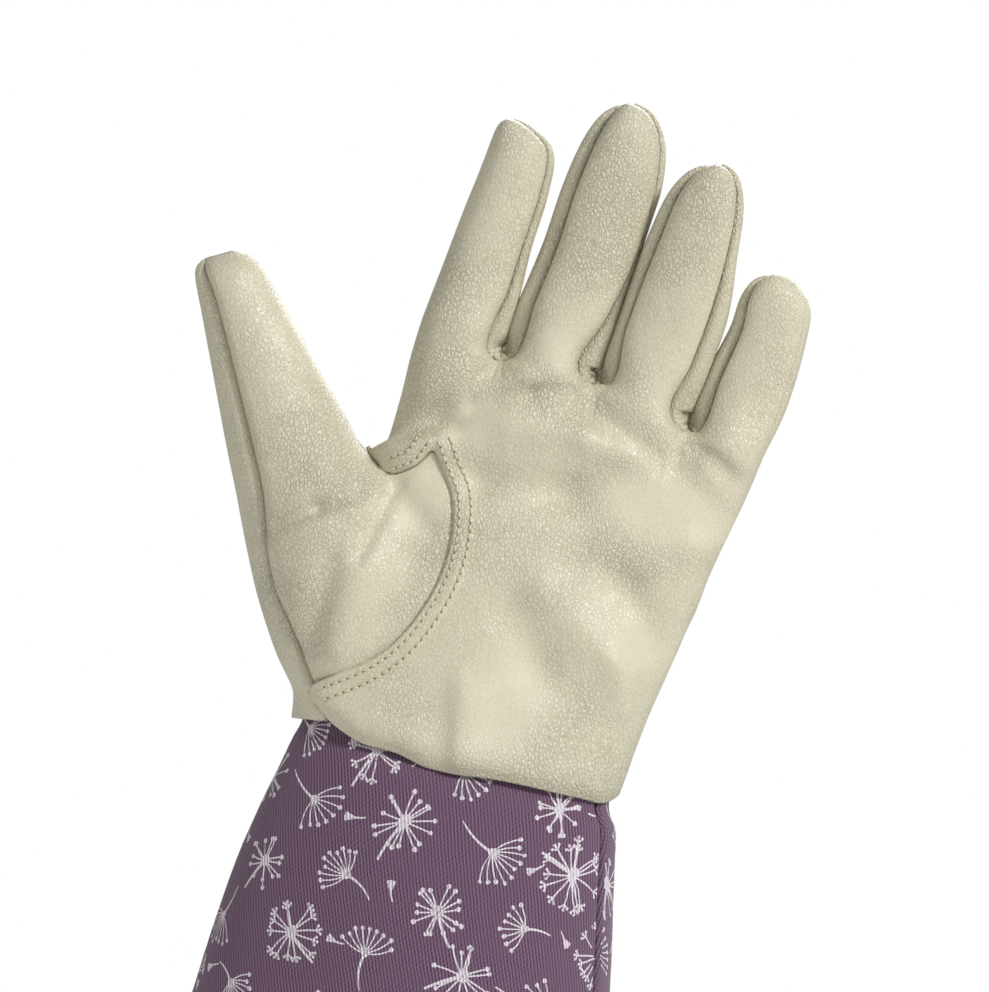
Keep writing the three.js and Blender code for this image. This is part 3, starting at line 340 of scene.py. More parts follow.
def section_depth(u, depth, power):
    """Depth of a rounded section at u, which is -1 and 1 at its edges."""
    rest = 1 - np.abs(u) ** power
    return np.where(rest >= 0, depth * np.sqrt(np.maximum(rest, 0)), -depth * (np.abs(u) - 1) * PAST_EDGE)


def from_thumb(a, b):
    """x and z of a place given along the thumb's axis and across it."""
    sine, cosine = math.sin(THUMB_TILT), math.cos(THUMB_TILT)
    return THUMB_FOOT[0] - a * sine + b * cosine, THUMB_FOOT[1] + a * cosine + b * sine


def to_thumb(x, z):
    """Place along the thumb's axis and across it."""
    sine, cosine = math.sin(THUMB_TILT), math.cos(THUMB_TILT)
    x, z = x - THUMB_FOOT[0], z - THUMB_FOOT[1]
    return -x * sine + z * cosine, x * cosine + z * sine


def thumb_section(a):
    """Seam, middle, half width, depth and lean of the thumb at a place along its axis."""
    _, outer, seam, inner, depth = np.moveaxis(row_at(THUMB, a), -1, 0)
    lean = -THUMB_CURL * np.clip(np.asarray(a) / THUMB_LENGTH, 0, 1) ** CURL_POWER
    middle, half = (outer + inner) / 2, (inner - outer) / 2
    return {"seam": seam, "middle": middle, "half": half, "depth": depth, "lean": lean}


def thumb_side_depth(a, b, side):
    """Depth of the thumb's surface to the palm (side -1) or to the back (side 1)."""
    thumb = thumb_section(a)
    across = (b - thumb["middle"]) / thumb["half"]
    depth = thumb["depth"] * (1 if side < 0 else BACK_SHARE)
    return thumb["lean"] * side + section_depth(across, depth, 2)


# The roll over the seam at the wrist: it bulges out above the seam and is drawn in at the edge
HEM_ROLL = {"out": 1.0, "height": 6, "width": 4, "in": 1.6, "edge": 1.8}


def hem_roll(x, z, side):
    """How far the leather's lower edge stands out."""
    height = z - row_at(PALM_HEM if side < 0 else BACK_HEM, x)[..., 1]
    bulge = HEM_ROLL["out"] * np.exp(-(((height - HEM_ROLL["height"]) / HEM_ROLL["width"]) ** 2))
    return bulge - HEM_ROLL["in"] * np.exp(-((height / HEM_ROLL["edge"]) ** 2))


def hand_depth(x, z, side):
    """Depth of the hand's outer surface, to the palm (side -1) or to the back (side 1)."""
    _, left, right_side, palm_depth, back_depth = np.moveaxis(row_at(HAND, z), -1, 0)
    across = (x - (left + right_side) / 2) / ((right_side - left) / 2)
    body = section_depth(across, palm_depth if side < 0 else back_depth, BODY_SQUARENESS)
    root = thumb_side_depth(*to_thumb(x, z), side)
    return (body + root + np.hypot(body - root, ROOT_BLEND)) / 2 + hem_roll(x, z, side)


def fold_height(x, z):
    """Height of all folds together; each fades out past its ends over half its width."""
    total = np.zeros(np.broadcast(x, z).shape)
    for x0, z0, x1, z1, left, right_width, height in FOLDS:
        length = math.hypot(x1 - x0, z1 - z0)
        along = ((x - x0) * (x1 - x0) + (z - z0) * (z1 - z0)) / length
        across = ((z - z0) * (x1 - x0) - (x - x0) * (z1 - z0)) / length
        beyond = along - np.clip(along, 0, length)
        width = np.where(across > 0, left, right_width)
        end = (left + right_width) / 2
        total += height * np.exp(-((across / width) ** 2) - (beyond / end) ** 2)
    return total


# Stretched areas where the grain is pressed flat: x and z of the middle, half width, half height
SATIN = [[37, 86, 19, 9], [4.6, 26, 12, 17], [37.6, 46.6, 7, 8], [-31, 72, 7, 11], [-20, 95, 9, 7],
         [-6.7, 122, 6, 6]]
SATIN_EDGE = 0.7  # how fast they end


def mark_satin(piece):
    """Stores how flat the grain is pressed at each point of the piece."""
    points = np.empty(len(piece.data.vertices) * 3)
    piece.data.vertices.foreach_get("co", points)
    x, _, z = points.reshape(-1, 3).T / TO_METRES
    flat = np.max([np.exp(-SATIN_EDGE * (((x - cx) / rx) ** 2 + ((z - cz) / rz) ** 2))
                   for cx, cz, rx, rz in SATIN], axis=0)
    piece.data.attributes.new("satin", "FLOAT", "POINT").data.foreach_set("value", flat)


# Each crotch, and the point above it where the two fingers part: x and z
CROTCHES = [[-20.3, 113.6, -19.9, 132.6], [7.4, 113.4, 9.9, 167.4], [34.9, 107.9, 38.3, 140.6]]
# How far the fingers give way beside a crotch, where that begins and the height over which it grows,
# up to where it stays and over which it ends, and its reach to the side
OPENING = {"push": 1.5, "foot": -0.8, "growth": 2.4, "top": 5, "end": 14, "turn": 1.4, "reach": 5}


def open_crotches(points):
    """Widens the foot of each gap between two fingers to a U."""
    points = points.copy()
    for x0, z0, x1, z1 in CROTCHES:
        length = math.hypot(x1 - x0, z1 - z0)
        up = np.array([x1 - x0, z1 - z0]) / length
        x, z = points[:, 0] - x0, points[:, 2] - z0
        aside, height = x * up[1] - z * up[0], x * up[0] + z * up[1]
        push = OPENING["push"] * smooth((height - OPENING["foot"]) / OPENING["growth"])
        push *= 1 - smooth((height - OPENING["top"]) / OPENING["end"])
        push *= np.tanh(aside / OPENING["turn"])
        push *= np.exp(-(np.maximum(np.abs(aside) - OPENING["reach"], 0) / OPENING["reach"]) ** 2)
        points[:, 0] += push * up[1]
        points[:, 2] -= push * up[0]
    return points


# The stretched leather below each crotch: how far below, its radius, how sharply it ends, and the
# rounds of smoothing that it gets besides
TAUT = {"below": 7, "radius": 11, "edge": 1.6, "rounds": 70}


def even_out(points, faces):
    """Relaxes a sheet, and more so just below the crotches."""
    points = relax(points, faces, EVEN_ROUNDS)
    softer = relax(points, faces, TAUT["rounds"])
    near = np.max([1 - np.hypot(points[:, 0] - x, points[:, 2] - z + TAUT["below"]) / TAUT["radius"]
                   for x, z, _, _ in CROTCHES], axis=0)
    return open_crotches(mix(points, softer, smooth(near * TAUT["edge"])[:, None]))


# Height and number of the small pleats, how far from the crotch they lie, and half their length
PLEATS = {"height": 0.32, "count": 11, "distance": 3.4, "length": 2.2}
RELIEF_POWER = 0.7  # how soon folds and pleats fade where the sheet turns away


def pleats(x, z):
    """Small pleats that fan out below the crotches."""
    total = np.zeros(np.broadcast(x, z).shape)
    for cx, cz, _, _ in CROTCHES:
        distance = np.hypot(x - cx, z - cz)
        angle = np.arctan2(x - cx, cz - z)
        fan = np.exp(-(((distance - PLEATS["distance"]) / PLEATS["length"]) ** 2))
        fan *= np.clip(np.cos(angle), 0, 1)
        total += PLEATS["height"] * fan * np.cos(PLEATS["count"] * angle + cx)
    return total


def relief(points, normals):
    """Height of folds and pleats, fading out where the sheet turns away from the palm side."""
    x, z = points[:, 0], points[:, 2]
    return (fold_height(x, z) + pleats(x, z)) * np.clip(-normals[:, 1], 0, 1) ** RELIEF_POWER


def finger_point(index, t, s, side):
    """A point of a finger: t along it, s from -1 at its left seam to 1 at its right one."""
    finger = FINGERS[index]
    t, s = np.broadcast_arrays(np.asarray(t, float), np.asarray(s, float))
    row = row_at(finger["rows"], t)
    gap = row[..., 3:5] - row[..., 1:3]
    half = np.linalg.norm(gap, axis=-1) / 2
    direction = gap / np.maximum(2 * half, 1e-6)[..., None]
    middle = (row[..., 3:5] + row[..., 1:3]) / 2
    dome = np.sqrt(1 - np.clip((t - TIP_START) / (1 - TIP_START), 0, 1) ** 2)
    body = mix(KNUCKLE_DEPTH, finger["depth"], smooth(t / KNUCKLE_SHARE))
    deep = TIP_DEPTH + (body - TIP_DEPTH) * dome
    edge = SIDE_STRIP * np.sqrt(np.clip((STRIP_END - t) / STRIP_TAPER, 0, 1))
    lean = -finger["curl"] * t ** CURL_POWER
    tip = smooth((t - WRAP_END) / WRAP_FADE)
    angle = np.radians(s * 90)
    if index == 0:
        wrap = np.radians(mix(INDEX_WRAP, 90, tip))
        if side < 0:
            angle = np.where(s < 0, s * wrap, angle)
            edge = np.where(s < 0, 0, edge)
        else:
            edge = np.where(s < 0, deep * np.abs(np.cos(wrap)) ** ROUNDNESS, edge)
            half = np.where(s < 0, half * np.sin(wrap), half)
    if index == 3:
        widening = 1 + LITTLE_WRAP * smooth(t / KNUCKLE_SHARE) * (1 - tip)
        turn = np.arcsin(1 / widening)
        if side < 0:
            edge = np.where(s > 0, deep * np.maximum(np.cos(turn), 0) ** ROUNDNESS, edge)
        else:
            edge = np.where(s > 0, 0, edge)
            angle = np.where(s > 0, s * (math.pi - turn), angle)
            half = np.where(s > 0, half * widening, half)
    cosine = np.cos(angle)
    depth = edge + (deep - edge) * np.sign(cosine) * np.abs(cosine) ** ROUNDNESS
    across = half * np.sin(angle)
    return np.stack([middle[..., 0] + direction[..., 0] * across, lean + side * depth,
                     middle[..., 1] + direction[..., 1] * across], axis=-1)


def fingers(side, first):
    """The four finger grids of one side, from the crotches to the tips."""
    grids = []
    for index in range(4):
        start = first if index == 0 else 0
        t = mix(start, 1, np.linspace(0, 1, FINGER_ROWS + 1) ** ROW_CROWDING)[:, None]
        s = np.linspace(-1, 1, FINE + 1)[None, :]
        grids.append((finger_point(index, t, s, side), side > 0))
    return grids


def hand_block(left, hem, crotch, side):
    """The block of the hand between its lower edge and the row of crotches."""
    share = ((crotch[:, 0] - crotch[0, 0]) / (crotch[-1, 0] - crotch[0, 0]))[None, :]
    rise = np.linspace(0, 1, HAND_ROWS + 1)[:, None]

    def straight(at):
        """Straight rows from the left edge to the side seam."""
        a, b = row_at_share(left, at)[..., :2], row_at_share(SIDE_SEAM, at)
        return mix(a, b, share[..., None])

    low = row_at(hem, mix(hem[0][0], hem[-1][0], share))
    top, foot = straight(np.ones((1, 1))), straight(np.zeros((1, 1)))
    move = (rise ** RISE_POWER)[..., None] * (crotch[None][..., [0, 2]] - top)
    move += ((1 - rise) ** FOOT_POWER)[..., None] * (low - foot)
    x, z = np.moveaxis(straight(rise) + move, -1, 0)
    depth = hand_depth(x, z, side)
    depth[:, -1] = 0
    near = (1 - np.clip((crotch[None, :, 2] - z) / KNUCKLE_REACH, 0, 1)) ** KNUCKLE_POWER
    y = mix(side * depth, crotch[None, :, 1], near)
    grid = np.stack([x, y, z], axis=-1)
    grid[-1] = crotch
    return grid, side > 0


def weld(grids):
    """Joins grids into one sheet; points that agree to a hundredth of a millimetre become one."""
    points, faces, start = [], [], 0
    for grid, flip in grids:
        index = start + np.arange(grid.shape[0] * grid.shape[1]).reshape(grid.shape[:2])
        quads = np.stack([index[:-1, :-1], index[:-1, 1:], index[1:, 1:], index[1:, :-1]], axis=-1)
        quads = quads.reshape(-1, 4)
        faces.append(quads[:, ::-1] if flip else quads)
        points.append(grid.reshape(-1, 3))
        start += index.size
    points, faces = np.concatenate(points), np.concatenate(faces)
    _, first, inverse = np.unique(np.round(points, 2), axis=0, return_index=True, return_inverse=True)
    faces = inverse.reshape(-1)[faces]
    kept = [list(dict.fromkeys(face)) for face in faces.tolist()]
    return points[first], [face for face in kept if len(face) > 2]


def edges_of(faces):
    """All edges of a sheet once, and those at its open border."""
    pairs = np.array([sorted(pair) for face in faces for pair in zip(face, face[1:] + face[:1])])
    pairs, count = np.unique(pairs, axis=0, return_counts=True)
    return pairs, pairs[count == 1]


def relax(points, faces, rounds):
    """Evens out a sheet; its open border only evens out along itself."""
    inner, border = edges_of(faces)
    on_border = np.zeros(len(points), bool)
    on_border[border.ravel()] = True
    pairs = np.concatenate([inner[~(on_border[inner].any(axis=1))], border])
    mixed = inner[on_border[inner].sum(axis=1) == 1]
    toward = np.where(on_border[mixed[:, :1]], mixed[:, ::-1], mixed)
    source = np.concatenate([pairs[:, 0], pairs[:, 1], toward[:, 1]])
    target = np.concatenate([pairs[:, 1], pairs[:, 0], toward[:, 0]])
    count = np.maximum(np.bincount(target, minlength=len(points)), 1)
    for _ in range(rounds):  # each round moves a point half the way to its neighbours' mean
        mean = np.stack([np.bincount(target, points[source, k], len(points)) / count
                         for k in range(3)], axis=-1)
        points = mix(points, mean, 0.5)
    return points


def normals_of(points, faces):
    """The sheet's normal at each point."""
    normals = np.zeros_like(points)
    for size in (3, 4):
        group = np.array([face for face in faces if len(face) == size])
        if len(group):
            first = points[group[:, 2]] - points[group[:, 0]]
            second = points[group[:, -1]] - points[group[:, 1]]
            cross = np.cross(first, second)
            for corner in range(size):
                np.add.at(normals, group[:, corner], cross)
    return normals / np.maximum(np.linalg.norm(normals, axis=1, keepdims=True), 1e-9)


def distance_to(points, path):
    """Distance from each point to the nearest point of a path."""
    tree = KDTree(len(path))
    for n, p in enumerate(path):
        tree.insert(p, n)
    tree.balance()
    return np.array([tree.find(p)[2] for p in points])


def border_points(points, faces, wanted):
    """Points of the open border where wanted(x, y, z) holds, with one between each two."""
    _, border = edges_of(faces)
    mask = wanted(*points.T)
    border = border[mask[border].all(axis=1)]
    first, second = points[border[:, 0]], points[border[:, 1]]
    return np.concatenate([first, (first + second) / 2, second])


# The tips of index, middle, ring and little finger and of the thumb: x and z
TIPS = [[-37.4, 178.8], [-6.5, 192.4], [22.0, 182.2], [46.0, 157.7], [-104.5, 122.2]]
TIP_TURN = 0.1  # share of the roll that is left at a tip
TIP_REACH = (3, 10)  # distance from the tip where the roll begins to grow, and over which it does


def turn_in(points, faces, seam, depth=1.2, width=2.1):
    """Rolls a sheet's edge inwards along a turned seam, less so at the finger tips."""
    to_tip = np.min([np.hypot(points[:, 0] - x, points[:, 2] - z) for x, z in TIPS], axis=0)
    depth = depth * mix(TIP_TURN, 1, smooth((to_tip - TIP_REACH[0]) / TIP_REACH[1]))
    reach_in = depth * (1 - np.clip(distance_to(points, seam) / width, 0, 1)) ** 2
    return points - normals_of(points, faces) * reach_in[:, None]


def add_allowance(points, faces, wanted, inward=1.3, outward=0.9):
    """Adds the narrow seam allowance that lies turned in under the neighbouring panel."""
    normals = normals_of(points, faces)
    _, border = edges_of(faces)
    chosen = {tuple(edge) for edge in border[wanted(*points.T)[border].all(axis=1)].tolist()}
    away = np.zeros_like(points)
    rims = []
    for face in faces:
        for a, b in zip(face, face[1:] + face[:1]):
            if (min(a, b), max(a, b)) in chosen:
                rims.append((a, b))
                along = points[b] - points[a]
                side = (points[a] + points[b]) / 2 - points[face].mean(axis=0)
                side -= along * (side @ along) / max(along @ along, 1e-9)
                away[[a, b]] += side / max(np.linalg.norm(side), 1e-9)
    used = sorted({corner for rim in rims for corner in rim})
    length = np.linalg.norm(away[used], axis=1, keepdims=True)
    moved = points[used] + away[used] / np.maximum(length, 1e-9) * outward - normals[used] * inward
    new = {old: len(points) + n for n, old in enumerate(used)}
    return np.concatenate([points, moved]), faces + [[b, a, new[a], new[b]] for a, b in rims]


def make_piece(name, points, faces, material, wall, node):
    """Makes the sheet a mesh in metres with its wall, riding on the glove and standing for its node."""
    mesh = bpy.data.meshes.new(name)
    mesh.from_pydata((points * TO_METRES).tolist(), [], faces)
    mesh.polygons.foreach_set("use_smooth", [True] * len(mesh.polygons))
    mesh.materials.append(material)
    piece = bpy.data.objects.new(name, mesh)
    bpy.context.scene.collection.objects.link(piece)
    if wall:
        solidify = piece.modifiers.new("wall", "SOLIDIFY")
        solidify.thickness = wall * TO_METRES
        solidify.offset = -1
    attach(piece, "root")
    if node:
        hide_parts(node)
    return piece


# Polyurethane-coated synthetic leather, embossed with a pebble grain: small rounded cells of 1.5 to
# 2 mm with fine cracks between them; painted shade draws the creases a little darker. Its satin
# gloss breaks up in the grain. Where the leather is stretched the grain is pressed flat and the surface
# is more matt.
leather, tree, surface = new_material("pebble_grained_coated_leather")
place = add(tree, "ShaderNodeTexCoord").outputs["Object"]
laid = add(tree, "ShaderNodeMapping", {"Vector": place, "Rotation": (0, 0.7, 0), "Scale": (1.2, 1.1, 0.85)})
warp = add(tree, "ShaderNodeTexNoise", {"Vector": place, "Scale": 420.0, "Detail": 2.0})
warped = add(tree, "ShaderNodeMix", {0: 0.0016, 4: laid.outputs["Vector"], 5: warp.outputs["Color"]},
             data_type="VECTOR")
cells = add(tree, "ShaderNodeTexVoronoi", {"Vector": warped.outputs[1], "Scale": 800.0},
            feature="DISTANCE_TO_EDGE")
grain = add(tree, "ShaderNodeMapRange",
            {"Value": cells.outputs["Distance"], "From Min": 0.0, "From Max": 0.3},
            interpolation_type="SMOOTHSTEP")
small = add(tree, "ShaderNodeTexVoronoi", {"Vector": warped.outputs[1], "Scale": 1750.0},
            feature="DISTANCE_TO_EDGE")
cracks = add(tree, "ShaderNodeMapRange",
             {"Value": small.outputs["Distance"], "From Min": 0.0, "From Max": 0.25},
             interpolation_type="SMOOTHSTEP")
both = add(tree, "ShaderNodeMix", {0: 0.25, 2: grain.outputs["Result"], 3: cracks.outputs["Result"]},
           data_type="FLOAT")
pits = add(tree, "ShaderNodeTexNoise", {"Vector": place, "Scale": 1700.0, "Detail": 3.0})
soft = add(tree, "ShaderNodeTexNoise", {"Vector": laid.outputs["Vector"], "Scale": 75.0, "Detail": 4.0,
                                        "Roughness": 0.55})
broad = add(tree, "ShaderNodeTexNoise", {"Vector": place, "Scale": 32.0, "Detail": 3.0})
where = add(tree, "ShaderNodeMapRange", {"Value": broad.outputs["Fac"], "From Min": 0.42, "From Max": 0.62,
                                         "To Min": 0.4, "To Max": 1.0})
pressed = add(tree, "ShaderNodeAttribute", attribute_name="satin")
ragged = add(tree, "ShaderNodeMath", {0: pressed.outputs["Fac"], 1: broad.outputs["Fac"]}, operation="ADD")
# Painted shade: a narrow mask along the grain's creases, where the colour is drawn darker
crease_shade_mask = add(tree, "ShaderNodeMapRange",
              {"Value": cells.outputs["Distance"], "From Min": 0.0, "From Max": 0.13},
              interpolation_type="SMOOTHSTEP")
satin = add(tree, "ShaderNodeMapRange",
            {"Value": ragged.outputs["Value"], "From Min": 0.7, "From Max": 1.35},
            interpolation_type="SMOOTHSTEP")
flat = add(tree, "ShaderNodeMix", {0: satin.outputs["Result"], 2: where.outputs["Result"], 3: 0.15},
           data_type="FLOAT")
low_bump = add(tree, "ShaderNodeBump", {"Strength": 0.4, "Distance": 0.0018, "Height": soft.outputs["Fac"]})
pit_bump = add(tree, "ShaderNodeBump", {"Strength": 0.25, "Distance": 0.00008,
                                        "Height": pits.outputs["Fac"], "Normal": low_bump.outputs["Normal"]})
bump = add(tree, "ShaderNodeBump", {"Strength": flat.outputs[0], "Distance": 0.00027,
                                    "Height": both.outputs[0], "Normal": pit_bump.outputs["Normal"]})
base = add(tree, "ShaderNodeMix", {0: broad.outputs["Fac"], 6: linear("#CCC6AD"), 7: linear("#D3CEB7")},
           data_type="RGBA")
# Painted shade colour for the creases: darker where the grain is deep, lighter where it is pressed flat
crease_shade_colour = add(tree, "ShaderNodeMix", {0: flat.outputs[0], 6: linear("#CBC5AC"), 7: linear("#B1AB90")},
            data_type="RGBA")
shade = add(tree, "ShaderNodeMix", {0: crease_shade_mask.outputs["Result"], 6: crease_shade_colour.outputs[2], 7: base.outputs[2]},
            data_type="RGBA")
gloss = add(tree, "ShaderNodeMapRange", {"Value": pits.outputs["Fac"], "To Min": 0.25, "To Max": 0.37})
matt = add(tree, "ShaderNodeMix", {0: satin.outputs["Result"], 2: gloss.outputs["Result"], 3: 0.62},
           data_type="FLOAT")
tree.links.new(shade.outputs[2], surface.inputs["Base Color"])
tree.links.new(matt.outputs[0], surface.inputs["Roughness"])
tree.links.new(bump.outputs["Normal"], surface.inputs["Normal"])
surface.inputs["IOR"].default_value = 1.49

# The panel's left edge runs up the seam at the wrist and then round the thumb hole
WRIST_SEAM_PLACES = (-4, THUMB_HOLE[0][0])  # along the thumb's axis
wrist_seam = [PALM_HEM[0]] + [list(from_thumb(a, thumb_section(a)["seam"])) for a in WRIST_SEAM_PLACES]
palm_left = wrist_seam + [list(from_thumb(*row)) for row in THUMB_HOLE[1:]]

WEB_SHARE = 0.5  # share of the web's lower edge that lies on the thumb hole
WEB_BEND = (0.9, 1.1)  # how it bends up to the crotch, in x and z
WEB_BLEND = 0.1  # share of it over which the folded web's depth passes into the hand's
WEB_ROWS = 24


def index_foot(s):
    """Lower edge of the index finger's grid: half on the thumb hole's edge, half up to the crotch."""
    a, b = np.moveaxis(row_at_share(WEB_FLAP, np.clip(s / WEB_SHARE, 0, 1)), -1, 0)
    x, z = from_thumb(a, b)
    crotch = finger_point(0, 0, 1, -1)
    angle = np.clip((s - WEB_SHARE) / (1 - WEB_SHARE), 0, 1) * math.pi / 2
    x = mix(x, crotch[0], np.sin(angle) ** WEB_BEND[0])
    z = mix(z, crotch[2], np.sin(angle) ** WEB_BEND[1])
    y = mix(crotch[1], -hand_depth(x, z, -1), np.maximum(np.cos(angle), 0) ** ROUNDNESS)
    return np.stack([x, mix(WEB[0][1], y, smooth(s / WEB_BLEND)), z], axis=-1)


s = np.linspace(0, 1, FINE + 1)
rise = np.linspace(0, 1, WEB_ROWS + 1)[:, None, None]
foot, top = index_foot(s), finger_point(0, INDEX_START, s * 2 - 1, -1)
curve = row_at_share(WEB + [top[0].tolist()], rise[:, 0, 0])[:, None, :]
web = mix(foot, top, rise) + (curve - mix(foot[0], top[0], rise)) * ((1 - s) ** 2)[None, :, None]
web[0] = foot
columns = np.linspace(-1, 1, FINE + 1)
crotch_row = np.concatenate([foot[FINE // 2:]]
                            + [finger_point(index, 0, columns[1:], -1) for index in (1, 2, 3)])
hand = hand_block(palm_left, PALM_HEM, crotch_row, -1)
points, faces = weld(fingers(-1, INDEX_START) + [(web, False), hand])
points = even_out(points, faces)


def edge_line(table, shares):
    """x and z along an edge that is given in the thumb's frame."""
    return np.array([[*from_thumb(*row)] for row in row_at_share(table, shares)])


x, z = np.concatenate([edge_line(THUMB_HOLE, np.linspace(0, 1, 140)),
                       edge_line(WEB_FLAP, np.linspace(1, 0, 50))]).T
hole_edge = np.stack([x, -hand_depth(x, z, -1), z], axis=-1)

SEAM_FOOT = 8  # the turned seams begin at this height, above the seam at the wrist
# The folded edge of the thumb hole: height of the folded leather, its width and how it steps down,
# the rounding of its edge, both rows of stitches from the edge, and the furrow each one pulls in
HEM_FOLD = {"height": 0.75, "width": 6.2, "step": 1.2, "drop": 0.9, "edge": 0.9}
STITCH_ROWS = (1.7, 4.9)
FURROW = {"depth": 0.28, "width": 0.55}


def turned(x, y, z):
    """True along the turned seams: not at the thumb hole and not at the leather's lower edge."""
    folded_web, outer_thumb = (x < -42) & (z > 74), (x < -46) & (z < 14)
    return (z > SEAM_FOOT) & ((x > 10) | (z > 95) | folded_web | outer_thumb)


seam = border_points(points, faces, turned)
fold = distance_to(points, hole_edge)
normals = normals_of(points, faces)
height = relief(points, normals)
edge_height = HEM_FOLD["height"] * smooth((HEM_FOLD["width"] - fold) / HEM_FOLD["step"])
edge_height -= HEM_FOLD["drop"] * (1 - np.clip(fold / HEM_FOLD["edge"], 0, 1)) ** 2
for row in STITCH_ROWS:
    edge_height -= FURROW["depth"] * np.exp(-(((fold - row) / FURROW["width"]) ** 2))
points = points + normals * (height + edge_height)[:, None]
points = turn_in(points, faces, seam)
palm = make_piece("leather_palm_panel", points, faces, leather, LEATHER, "palm_panel")
mark_satin(palm)
palm_tree = BVHTree.FromPolygons((points * TO_METRES).tolist(), faces)

# Back panel
# The back of the hand and of the four fingers in the same leather, joined to the palm panel by
# turned seams along the outer side and the index finger, and to the strips between the fingers.

# The seam to the thumb's back, in the thumb's frame, and the panel's corner at the folded web (x, y, z)
THUMB_BACK_SEAM = [[2, 8.0], [12, 16.0], [25, 27.0], [38, 35.0], [48, 38.0], [55, 38.6], [61, 36.0]]
WEB_CORNER = [[-48.8, 2.0, 77.6], [-47.0, 2.0, 79.0]]
crotch_row = np.concatenate([finger_point(0, 0, columns, 1)]
                            + [finger_point(index, 0, columns[1:], 1) for index in (1, 2, 3)])
seam_rows = [list(from_thumb(*row)) for row in THUMB_BACK_SEAM[:-1]]
foot_rows = [[mix(BACK_HEM[0][k], seam_rows[0][k], n / 4) for k in (0, 1)] for n in (1, 2, 3)]
web_rows = [[x, z, y] for x, y, z in WEB_CORNER + WEB[3:] + [crotch_row[0].tolist()]]
left_rows = [BACK_HEM[0]] + foot_rows + seam_rows
left = [[*row, web_rows[0][2]] for row in left_rows] + web_rows
grid, flip = hand_block(left, BACK_HEM, crotch_row, 1)
# Beside the web the panel's edge takes the web's depth, and the column next to it follows
share = np.linspace(0, 1, HAND_ROWS + 1)
held = np.clip(share * (len(left) - 1) - (len(left_rows) - 1), 0, 1)
grid[:, 0, 1] = mix(grid[:, 0, 1], row_at_share(left, share)[:, 2], held)
grid[:, 1, 1] = mix(grid[:, 1, 1], mix(grid[:, 0, 1], grid[:, 3, 1], 0.5), held)
points, faces = weld(fingers(1, 0) + [(grid, flip)])
points = even_out(points, faces)
points = turn_in(points, faces, border_points(points, faces, lambda x, y, z: z > SEAM_FOOT))


def back_allowance(x, y, z):
    """True where the seam allowance lies hidden: not at the folded web, where it would show."""
    return (z > SEAM_FOOT) & ((x > -44) | (z < 77) | (z > 83))


points, faces = add_allowance(points, faces, back_allowance)
back_panel = make_piece("leather_back_panel", points, faces, leather, LEATHER, "back_panel")

# Side strips between the fingers
# Three narrow gussets of the leather. Each runs down one finger from its tip, round the crotch and
# up the next finger, and gives the fingers their thickness.

STRIP_ROWS = 90  # mesh rows along each of its two fingers, closer near the crotch
STRIP_COLUMNS = 21
STRIP_CROWDING = 1.4
STRIP_LAST = 0.003  # the last row lies this share of the finger before the strip's end
BULGE_END = 7  # how late the bulge falls away before the strip's end
BULGE_ROUND = (4, 0.75)  # roundness of the bulge across the strip
FACING = 0.1  # share of a row's outward direction from which it counts as facing the other finger
PAST_MIDDLE = 0.12  # how far the strip then reaches past the middle of the gap, to close it
LEAST_BULGE = 0.6
CROTCH_BULGE = 4.5  # where the strip turns round the crotch
MOST_BULGE = 6.5
CLOSED_REACH = 9  # distance from the crotch up to which the back half of the strip closes the gap
CLOSED_HALF = (-0.5, 0.6)  # across the strip, from -1 in front to 1 behind: where that half begins
HOLLOW = {"depth": 1.2, "place": 4, "width": 3.2, "least": 0.2}  # in front, to both sides of the crotch
GATHER = {"height": 0.9, "reach": 3.6, "pitch": 3.4}  # the strip's small gathers in the crotch


